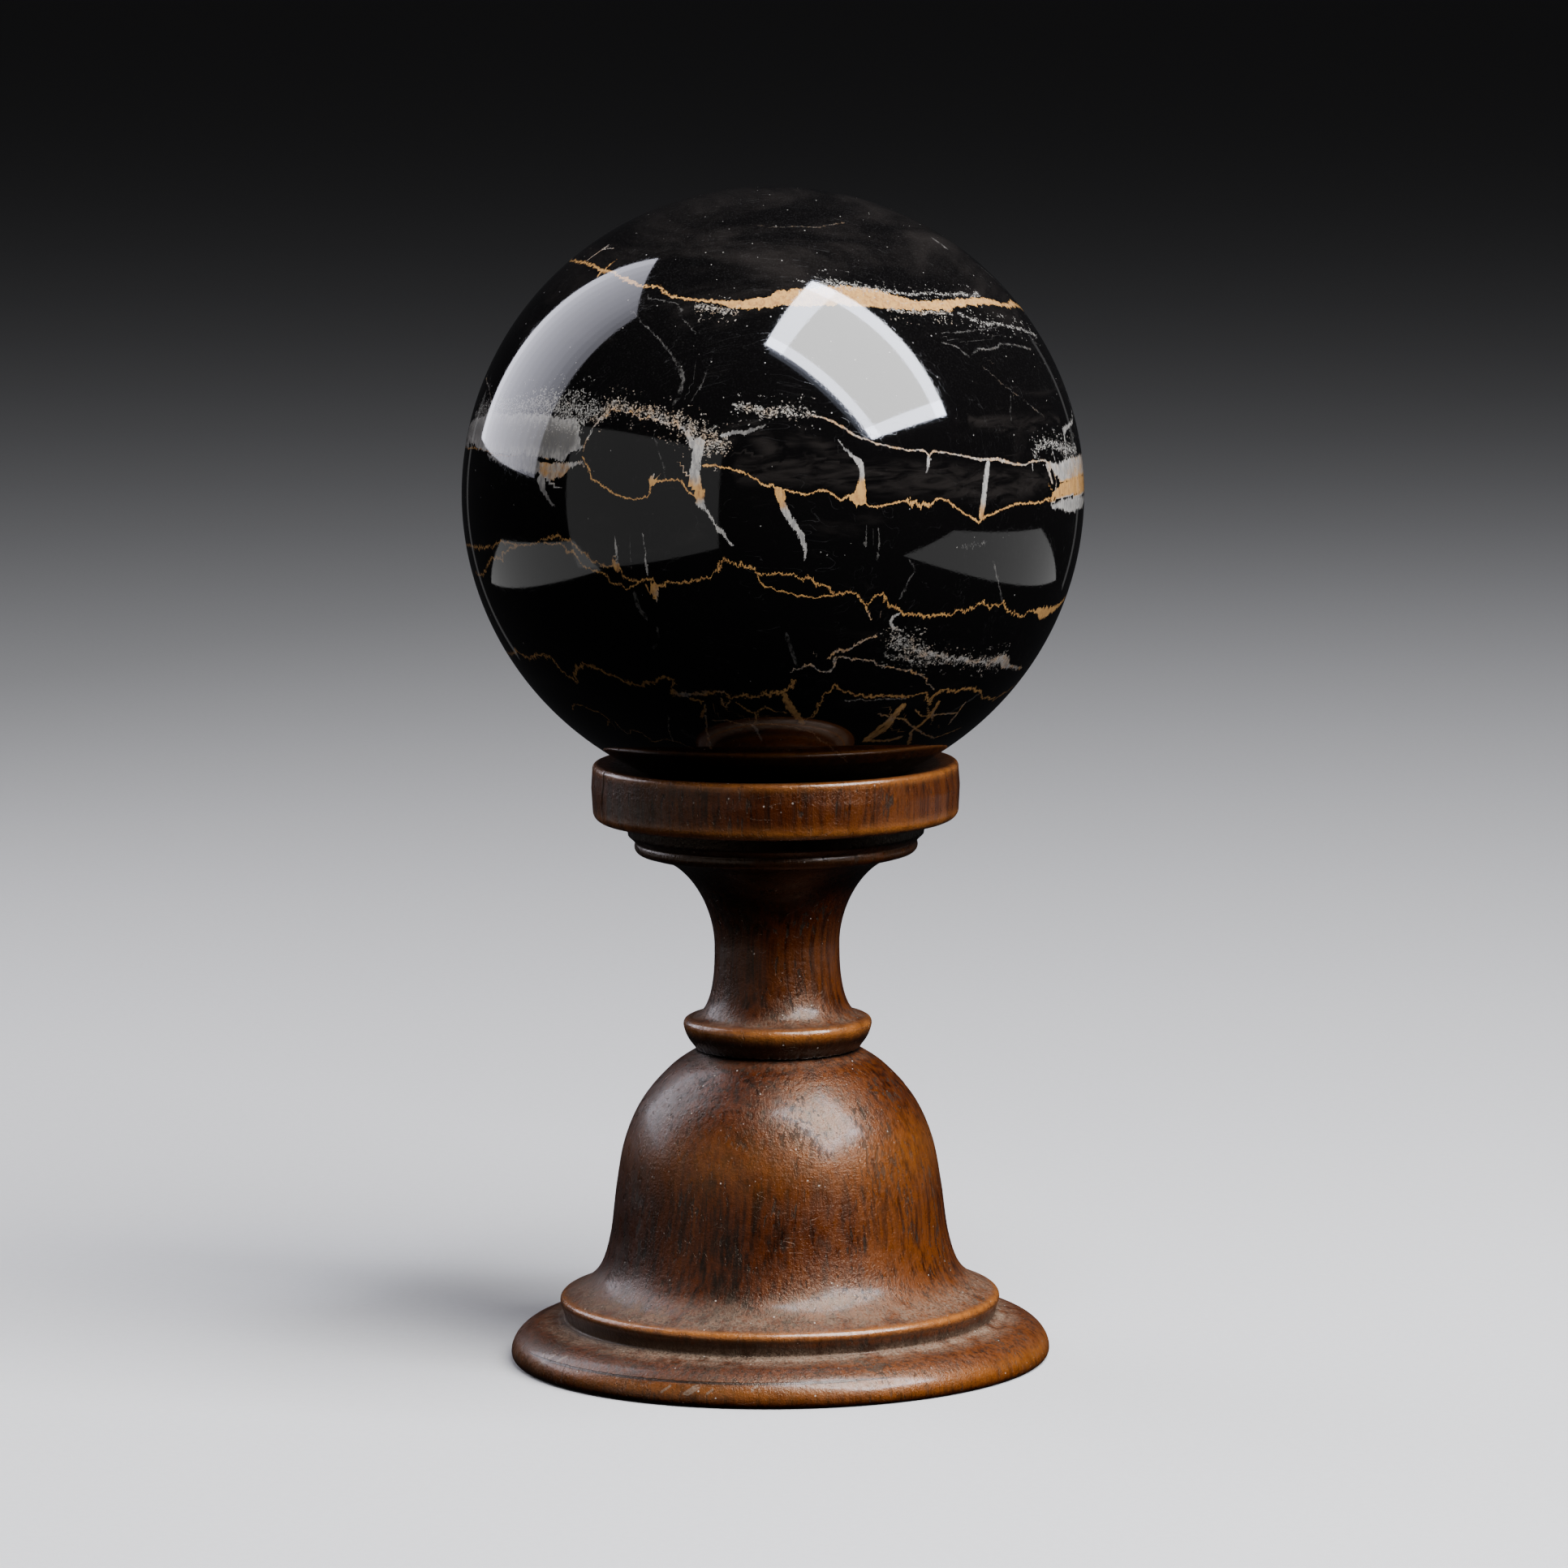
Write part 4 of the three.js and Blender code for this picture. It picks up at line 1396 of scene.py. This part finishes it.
@dataclass
class VeinField:
    """Works out, for places on a sphere, how far the nearest vein's middle line is and how wide it is there.

    A span is measured from places within search of its ends. A half-width shrinks beyond reach from the
    vein's edge, and past a free end by end_taper for each millimetre.
    """

    radius: float
    reach: float = 2.5
    search: float = 9.0
    end_taper: float = 1.2
    tie: float = 1e-5

    def on_sphere(self, longitude: Array, latitude: Array) -> Array:
        """Points on the sphere: (cos lat sin lon, -cos lat cos lon, sin lat) times the radius."""
        lon, lat = np.radians(longitude), np.radians(latitude)
        level = np.cos(lat)
        return self.radius * np.stack([level * np.sin(lon), -level * np.cos(lon), np.sin(lat)], -1)

    def drop(self, points: Array, start: Array, end: Array) -> tuple:
        """Drops points on the span from start to end.

        The closest place is the foot of the perpendicular on the chord, held between its ends and put back
        on the sphere.

        Args:
            points: places on the sphere, as rows.
            start, end: the span's ends.
        Returns:
            Each point's distance, its offset square to the span's plane, which gives its side, and its share
            of the way along, below 0 or above 1 beyond the ends.
        """
        chord = end - start
        along = (points - start) @ chord / np.dot(chord, chord)
        foot = start + np.clip(along, 0, 1)[:, None] * chord
        foot *= self.radius / np.linalg.norm(foot, axis=1)[:, None]
        offset = points - foot
        normal = np.cross((start + end) / 2, chord)
        return np.linalg.norm(offset, axis=1), offset @ (normal / np.linalg.norm(normal)), along

    def measure(self, points: Array, strands: tuple) -> Array:
        """Measures one layer: for each point, the nearest span of any strand.

        Half-width and tone are evenly blended along the span, and the half-width runs below 0 past a
        strand's free ends and far from it, so that nothing is drawn there.

        Args:
            points: places on the sphere, as rows.
            strands: the layer's veins.
        Returns:
            Signed distance, half-width, tone and jag for each point, as rows.
        """
        found = np.tile(np.array([99.0, -1.0, 0.0, 0.0]), (len(points), 1))
        best, side = np.full(len(points), 1e9), np.zeros(len(points))
        per_degree = self.radius * math.radians(1)
        for strand in strands:
            places = strand.places()
            knots = self.on_sphere(places[:, 0], places[:, 1])
            final = len(knots) - 2
            for i, (start, end) in enumerate(zip(knots[:-1], knots[1:])):
                length = np.linalg.norm(end - start)
                apart = np.sum((points - (start + end) / 2) ** 2, 1)
                close = np.flatnonzero(apart < (length / 2 + self.search) ** 2)
                if not len(close):
                    continue
                distance, across, along = self.drop(points[close], start, end)
                share = np.clip(along, 0, 1)
                half, tone = (places[i, n] + share * (places[i + 1, n] - places[i, n]) for n in (2, 3))
                past = (i == 0) * np.maximum(-along, 0) + (i == final) * np.maximum(along - 1, 0)
                half = half * per_degree - past * length * self.end_taper
                half = half - np.maximum(distance - np.maximum(half, 0) - self.reach, 0) * 2
                tied = distance < best[close] + self.tie
                better = (distance < best[close] - self.tie) | (tied & (np.abs(across) > np.abs(side[close])))
                rows = close[better]
                best[rows], side[rows] = distance[better], across[better]
                signed = np.where(across < 0, -distance, distance)
                found[rows] = np.stack([signed, half, tone, np.full(len(close), strand.jag)], 1)[better]
        return found


@dataclass(frozen=True)
class StoneMasks:
    """The sockets that the stone's ground and veins share.

    height is -1 at the stone's bottom and 1 at its top. teeth shift a vein, thin and powder break its edge,
    and pale and golden are its two mottled colours.
    """

    place: Socket
    height: Socket
    teeth: Socket
    thin: Socket
    powder: Socket
    fine: Socket
    mottle: Socket
    pale: Socket
    golden: Socket
    flecks: Socket
    scratch: Socket


@dataclass(frozen=True)
class MarbleFinish:
    """Polished black stone with the veins in it.

    centre_z and half_height are the stone's middle and about half its height, for what changes up it.
    solid_layers are laid in this order, each with its strength and how ragged its edge is.
    """

    centre_z: float
    half_height: float = 60.0
    name: str = "black_marble"
    black: tuple = (0.0016, 0.0014, 0.0014)
    smoke: tuple = (0.0105, 0.0088, 0.0078)
    white: tuple = (0.33, 0.31, 0.275)
    grey: tuple = (0.13, 0.125, 0.12)
    gold: tuple = (0.43, 0.235, 0.075)
    umber: tuple = (0.21, 0.095, 0.04)
    solid_layers: tuple = ((Layer.FAINT, 0.24, 0.5), (Layer.CROSS, 0.9, 0.6), (Layer.BRANCH, 0.93, 0.5),
                           (Layer.MAIN, 0.95, 0.45))
    grains_per_mm: float = 4.0
    roughness: float = 0.035
    relief_metres: float = 0.000002

    def build(self, effects: Effects) -> bpy.types.Material:
        """Makes the material.

        Args:
            effects: the shared shader groups.
        Returns:
            The material.
        """
        material, w, surface = start_material(self.name)
        masks = self.masks(w, effects)
        stone = self.ground(w, masks)
        for layer, strength, ragged in self.solid_layers:
            stone = self.lay_veins(w, masks, effects, stone, layer, strength, ragged)
        stone = self.lay_grains(w, masks, effects, stone)
        stone = w.mix(w.times(masks.scratch, 0.10), stone, self.grey)
        w.feed(stone, surface.inputs["Base Color"])
        w.feed(w.plus(self.roughness, w.times(masks.flecks, 0.25)), surface.inputs["Roughness"])
        surface.inputs["IOR"].default_value = 1.6
        pits = w.span(w.noise(masks.place, 1.4, 3.0, 0.7), 0.28, 0.5)
        relief = w.plus(pits, w.times(masks.scratch, -0.6))
        w.feed(w.bump(relief, self.relief_metres, 0.5), surface.inputs["Normal"])
        return material

    def masks(self, w: Wiring, effects: Effects) -> StoneMasks:
        """Makes what the ground and the veins share.

        Args:
            w: the material's wiring.
            effects: the shared shader groups.
        Returns:
            The sockets.
        """
        place = w.millimetres()
        upright = w.vector("MULTIPLY", place, (1.0, 1.0, 0.22))
        wander = w.times(w.ripple(upright, 0.4, 2.0), 2.2)
        comb = w.times(w.ripple(upright, 1.1, 4.0, 0.8), 5.5)
        height = w.math("DIVIDE", w.minus(w.parts(place)[2], self.centre_z), self.half_height)
        rarity = w.span(height, -0.3, 0.9, 0.97, 0.8)
        powder = w.ripple(place, 2.6, 3.0, 0.75)
        fine = w.span(w.drawn_noise(place, (1.5, 1.5, 0.4), 4.0, 0.72), 0.32, 0.68)
        return StoneMasks(
            place=place, height=height, teeth=w.plus(wander, comb),
            thin=w.span(w.noise(place, 0.9, 4.0, 0.7), 0.36, 0.64, 0.13, 0.01), powder=powder, fine=fine,
            mottle=w.times(w.ripple(place, 0.45, 4.0, 0.65), 1.3),
            pale=w.mix(w.span(fine, 0.0, 1.0, 0.0, 0.8), self.white, self.grey),
            golden=w.mix(w.span(w.plus(fine, powder), 0.2, 1.1, 0.0, 0.75), self.gold, self.umber),
            flecks=w.group(effects.specks, Place=place, Rarity=rarity, Size=0.17)["Mask"],
            scratch=w.group(effects.scratches, Place=place, Rarity=0.56)["Mask"])

    def ground(self, w: Wiring, m: StoneMasks) -> Socket:
        """The black stone: clouds and wisps of smoke, a fog of grains at the top, smoky bands and flecks.

        Args:
            w: the material's wiring.
            m: the stone's masks.
        Returns:
            The colour.
        """
        clouds = w.drawn_noise(m.place, (0.03, 0.03, 0.085), 6.0, 0.62, 0.8)
        rising = w.plus(clouds, w.span(m.height, 0.3, 1.0, -0.04, 0.12))
        stone = w.mix(w.span(rising, 0.52, 0.85), self.black, self.smoke)
        wisps = w.drawn_noise(m.place, (0.1, 0.1, 0.26), 6.0, 0.66, 1.6)
        stone = w.mix(w.span(wisps, 0.6, 0.85, 0.0, 0.45), stone, self.smoke)
        fog = w.span(w.noise(m.place, 3.0, 3.0, 0.8), 0.5, 0.75)
        stone = w.mix(w.times(fog, w.span(m.height, 0.1, 0.95, 0.01, 0.07)), stone, self.grey)
        distance, half, _ = w.parts(w.attribute(Layer.SMOKE.value).outputs["Vector"])
        inside = w.span(w.minus(w.math("ABSOLUTE", distance), half), 1.2, -1.8)
        drawn = w.span(w.drawn_noise(m.place, (0.12, 0.12, 0.5), 4.0, 0.6, 1.0), 0.35, 0.65)
        smoky = w.times(w.times(inside, drawn), w.span(half, 0.0, 0.8))
        stone = w.mix(w.times(smoky, 0.9), stone, self.smoke)
        return w.mix(w.times(m.flecks, 0.6), stone, self.white)

    def lay_veins(self, w: Wiring, m: StoneMasks, effects: Effects, stone: Socket, layer: Layer,
                  strength: float, ragged: float) -> Socket:
        """Lays one layer of solid veins over the stone, fading towards the bottom as painted shading.

        Args:
            w: the material's wiring.
            m: the stone's masks.
            effects: the shared shader groups.
            stone: the colour so far.
            layer: which veins.
            strength: how much of the stone they hide.
            ragged: how far the powder breaks their edges, in millimetres.
        Returns:
            The colour.
        """
        node = w.attribute(layer.value)
        distance, half, tone = w.parts(node.outputs["Vector"])
        slim = w.math("MAXIMUM", w.times(half, 0.8), w.minus(half, 0.08))
        band = w.group(effects.strand, Distance=distance, Half=slim, Jag=node.outputs["Alpha"], Teeth=m.teeth,
                       Thin=m.thin, Grain=w.times(m.powder, ragged), Soft=0.05)
        colour = w.mix(w.span(w.plus(tone, m.mottle), 0.15, 0.8), m.pale, m.golden)
        colour = w.mix(w.span(tone, -1.0, 0.0, 0.95, 0.0), colour, self.smoke)
        if layer is Layer.FAINT:
            broken = w.span(w.noise(m.place, 0.5, 4.0, 0.7), 0.35, 0.65)
        else:
            milky = w.span(w.plus(m.fine, tone), 0.0, 1.0, 0.5, 0.95)
            broken = w.span(band["Inside"], 0.3, 3.0, 1.0, milky)
        shown = w.times(w.times(band["Mask"], strength), broken)
        # painted shade: the veins fade towards the bottom of the stone
        lower = w.span(m.height, -0.95, -0.3, 0.4, 1.0)
        return w.mix(w.times(shown, lower), stone, colour)

    def lay_grains(self, w: Wiring, m: StoneMasks, effects: Effects, stone: Socket) -> Socket:
        """Lays the speckled veins: a cell of the scatter is a grain where its number passes the crowd there.

        Args:
            w: the material's wiring.
            m: the stone's masks.
            effects: the shared shader groups.
            stone: the colour so far.
        Returns:
            The colour.
        """
        node = w.attribute(Layer.SPECKLED.value)
        distance, half, tone = w.parts(node.outputs["Vector"])
        band = w.group(effects.strand, Distance=distance, Half=half, Jag=node.outputs["Alpha"], Teeth=m.teeth,
                       Soft=0.3)
        depth = w.math("DIVIDE", band["Inside"], w.math("MAXIMUM", half, 0.3))
        crowd = w.plus(w.span(depth, -0.9, 0.95, 1.02, 0.42), w.times(w.ripple(m.place, 0.7, 4.0, 0.7), 1.3))
        number, own, _ = w.parts(w.cells(m.place, self.grains_per_mm)[1])
        lit = w.times(w.math("GREATER_THAN", number, crowd), w.span(own, 0.0, 1.0, 0.15, 0.8))
        colour = w.mix(w.span(w.plus(tone, m.mottle), 0.15, 1.1), self.white, self.gold)
        return w.mix(w.times(w.span(half, 0.0, 0.3), lit), stone, colour)


@dataclass(frozen=True)
class MarbleSphere:
    """The stone: a sphere lapped very slightly flat, veined all round. Its sizes are its CAD node's."""

    radius: float
    half_height: float
    centre_z: float

    @classmethod
    def from_frame(cls) -> "MarbleSphere":
        """Reads the stone's sizes from its CAD node."""
        low, high = (np.array(corner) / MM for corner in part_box("marble_sphere"))
        return cls((high[0] - low[0]) / 2, (high[2] - low[2]) / 2, (high[2] + low[2]) / 2)

    def build(self, finish: bpy.types.Material) -> bpy.types.Object:
        """Builds the sphere round its CAD node, with one attribute for each layer of veins.

        Args:
            finish: the marble material.
        Returns:
            The piece.
        """
        latitudes = np.concatenate([np.linspace(-90, -50, 22, endpoint=False),
                                    np.linspace(-50, 58, 181, endpoint=False), np.linspace(58, 90, 25)])
        angle = np.radians(latitudes)
        profile = np.stack([self.radius * np.cos(angle), self.centre_z + self.half_height * np.sin(angle)], 1)
        profile[[0, -1], 0] = 0
        shell = Shell("marble_sphere_stone", profile, around((-92, 2.0), (92, 0.6), (180, 2.0)))
        places = shell.places()
        sine = np.clip((places[:, 2] - self.centre_z) / self.half_height, -1, 1)
        veins = VeinField(self.radius)
        points = veins.on_sphere(places[:, 1], np.degrees(np.arcsin(sine)))
        shell.layers = {layer.value: veins.measure(points, VEINS[layer]) for layer in Layer}
        piece = shell.build(finish)
        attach(piece, "root")
        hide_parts("marble_sphere")
        return piece


# ---------------------------------------------------------------- studio


@dataclass(frozen=True)
class SoftBox:
    """A rectangular lamp, out of the camera's sight. Lengths are metres and angles degrees.

    It stands at a place, and faces back along (azimuth, elevation); turn spins it about that line. shift
    moves it sideways and up in its own plane, and forward towards the object.
    """

    name: str
    place: tuple
    azimuth: float
    elevation: float
    turn: float
    size: tuple
    radiance: float
    colour: tuple = WHITE
    shift: tuple = (0.0, 0.0)
    forward: float = 0.0

    def build(self) -> bpy.types.Object:
        """Makes the lamp.

        Returns:
            The lamp's object, linked to the scene.
        """
        a, e, t = (math.radians(angle) for angle in (self.azimuth, self.elevation, self.turn))
        out = Vector((math.sin(a) * math.cos(e), -math.cos(a) * math.cos(e), math.sin(e)))
        level = Vector((math.cos(a), math.sin(a), 0))
        upright = out.cross(level)
        right = math.cos(t) * level + math.sin(t) * upright
        up = out.cross(right)
        lamp = bpy.data.lights.new(self.name, "AREA")
        lamp.shape = "RECTANGLE"
        lamp.size, lamp.size_y = self.size
        lamp.energy = self.radiance * math.pi * self.size[0] * self.size[1]
        lamp.color = self.colour
        holder = bpy.data.objects.new(self.name, lamp)
        holder.matrix_world = Matrix((right, up, out)).transposed().to_4x4()
        holder.location = Vector(self.place) + right * self.shift[0] + up * self.shift[1] - out * self.forward
        holder.visible_camera = False
        bpy.context.scene.collection.objects.link(holder)
        return holder


@dataclass
class Studio:
    """The floor, the lamps and the camera. Lengths are metres here, and the lens and sensor millimetres."""

    camera_place: tuple = (0.00165, -1.400, 0.2899)
    camera_down: float = 7.21
    camera_roll: float = 0.5
    lens: float = 166.55
    sensor: float = 36.0
    floor_half: float = 30.0
    floor_colours: tuple = ((0.50, 0.49, 0.475), (0.56, 0.55, 0.535))
    floor_roughness: float = 0.8
    surrounding: tuple = (0.012, 0.012, 0.013, 1)
    violet: tuple = (0.86, 0.86, 1.0)
    blue: tuple = (0.74, 0.80, 1.0)
    left_box: tuple = ((-0.704, 0.373, 0.774), -117.0, 0.0, 0.0)
    left_size: tuple = (0.642, 1.089)
    left_fade: tuple = (7.0, 5.3, 4.7, 4.3, 4.0, 3.7, 3.4, 3.0, 2.5, 2.0)
    right_box: tuple = ((0.459, -0.441, 0.941), 70.0, 54.0, -2.0)

    def lamps(self) -> tuple:
        """The soft boxes: a tall one at the left, a framed one overhead at the right, and dim cards.

        Returns:
            The left box as adjoining strips that fade to the right, the right box as a core with a brighter
            frame and a glow at its inner side, and the cards.
        """
        right, blue = self.right_box, self.blue
        wide, tall = self.left_size[0] / len(self.left_fade), self.left_size[1]
        middle = (len(self.left_fade) - 1) / 2
        strips = [SoftBox(f"left_box_{i}", *self.left_box, (wide, tall), radiance, self.violet,
                          (wide * (i - middle), 0.0))
                  for i, radiance in enumerate(self.left_fade)]
        return (
            *strips,
            SoftBox("right_box", *right, (0.657, 1.014), 18.0),
            SoftBox("right_box_side", *right, (0.085, 1.010), 22.0, blue, (0.283, 0.0), 0.004),
            SoftBox("right_box_inner", *right, (0.085, 1.010), 19.0, blue, (-0.283, 0.0), 0.005),
            SoftBox("right_box_glow", *right, (0.03, 0.98), 3.0, blue, (-0.34, -0.01), 0.002),
            SoftBox("right_box_halo", *right, (0.03, 0.94), 1.1, blue, (-0.37, -0.02), 0.002),
            SoftBox("right_box_top", *right, (0.655, 0.15), 19.0, blue, (0.0, 0.43), 0.006),
            SoftBox("right_box_foot", *right, (0.655, 0.10), 22.0, blue, (0.0, -0.455), 0.007),
            SoftBox("front_card", (-0.72, -0.694, 0.196), -59.0, 5.0, 2.0, (1.176, 0.763), 0.33),
            SoftBox("right_card", (0.66, 0.03, 0.004), 0.0, -90.0, 0.0, (0.52, 0.80), 0.64),
            SoftBox("left_card", (-0.60, 0.12, 0.004), 0.0, -90.0, 0.0, (0.38, 0.62), 0.6),
            SoftBox("right_strip", (0.52, 0.95, 0.16), 151.0, 0.0, 0.0, (0.05, 0.5), 0.14),
            SoftBox("left_strip", (-0.50, 0.95, 0.02), 208.0, 0.0, 0.0, (0.05, 0.5), 0.12),
        )

    def build(self) -> None:
        """Builds the floor, world, lamps and camera."""
        self.build_floor()
        self.build_world()
        lamps = self.lamps()
        for lamp in lamps:
            lamp.build()
        self.build_camera()
        LOG.info("studio: %d lamps", len(lamps))

    def build_floor(self) -> bpy.types.Object:
        """A plain pale floor, level with the foot's underside, that polished things don't mirror.

        Returns:
            The floor.
        """
        half = self.floor_half
        mesh = bpy.data.meshes.new("floor")
        corners = [(-half, -half, 0), (half, -half, 0), (half, half, 0), (-half, half, 0)]
        mesh.from_pydata(corners, [], [(0, 1, 2, 3)])
        floor = bpy.data.objects.new("floor", mesh)
        bpy.context.scene.collection.objects.link(floor)
        material, w, surface = start_material("pale_floor")
        clouds = w.noise(w.millimetres(), 0.6, 4.0)
        w.feed(w.mix(clouds, *self.floor_colours), surface.inputs["Base Color"])
        surface.inputs["Roughness"].default_value = self.floor_roughness
        mesh.materials.append(material)
        floor.visible_glossy = floor.visible_diffuse = False
        return floor

    def build_world(self) -> None:
        """A dim, even surrounding."""
        world = bpy.data.worlds.new("studio")
        world.use_nodes = True
        world.node_tree.nodes["Background"].inputs["Color"].default_value = self.surrounding
        bpy.context.scene.world = world

    def build_camera(self) -> bpy.types.Object:
        """A long lens, a little above the object and looking slightly down.

        Returns:
            The camera.
        """
        data = bpy.data.cameras.new("camera")
        data.lens, data.sensor_width = self.lens, self.sensor
        camera = bpy.data.objects.new("camera", data)
        down, roll = math.radians(self.camera_down), -math.radians(self.camera_roll)
        forward = Vector((0, math.cos(down), -math.sin(down)))
        level = Vector((0, math.sin(down), math.cos(down)))
        side = Vector((1, 0, 0))
        right = math.cos(roll) * side + math.sin(roll) * level
        up = -math.sin(roll) * side + math.cos(roll) * level
        camera.matrix_world = Matrix((right, up, -forward)).transposed().to_4x4()
        camera.location = self.camera_place
        bpy.context.scene.collection.objects.link(camera)
        bpy.context.scene.camera = camera
        return camera


def main() -> None:
    """Builds the sphere, the stand and the studio in order."""
    logging.basicConfig(level=logging.INFO)
    effects = Effects()
    sphere = MarbleSphere.from_frame()
    sphere.build(MarbleFinish(sphere.centre_z).build(effects))
    CupStem().build(WoodFinish("cup_wood").build(effects), sphere)
    BellFoot().build(WoodFinish("foot_wood").build(effects))
    Studio().build()


if __name__ == "__main__":
    main()
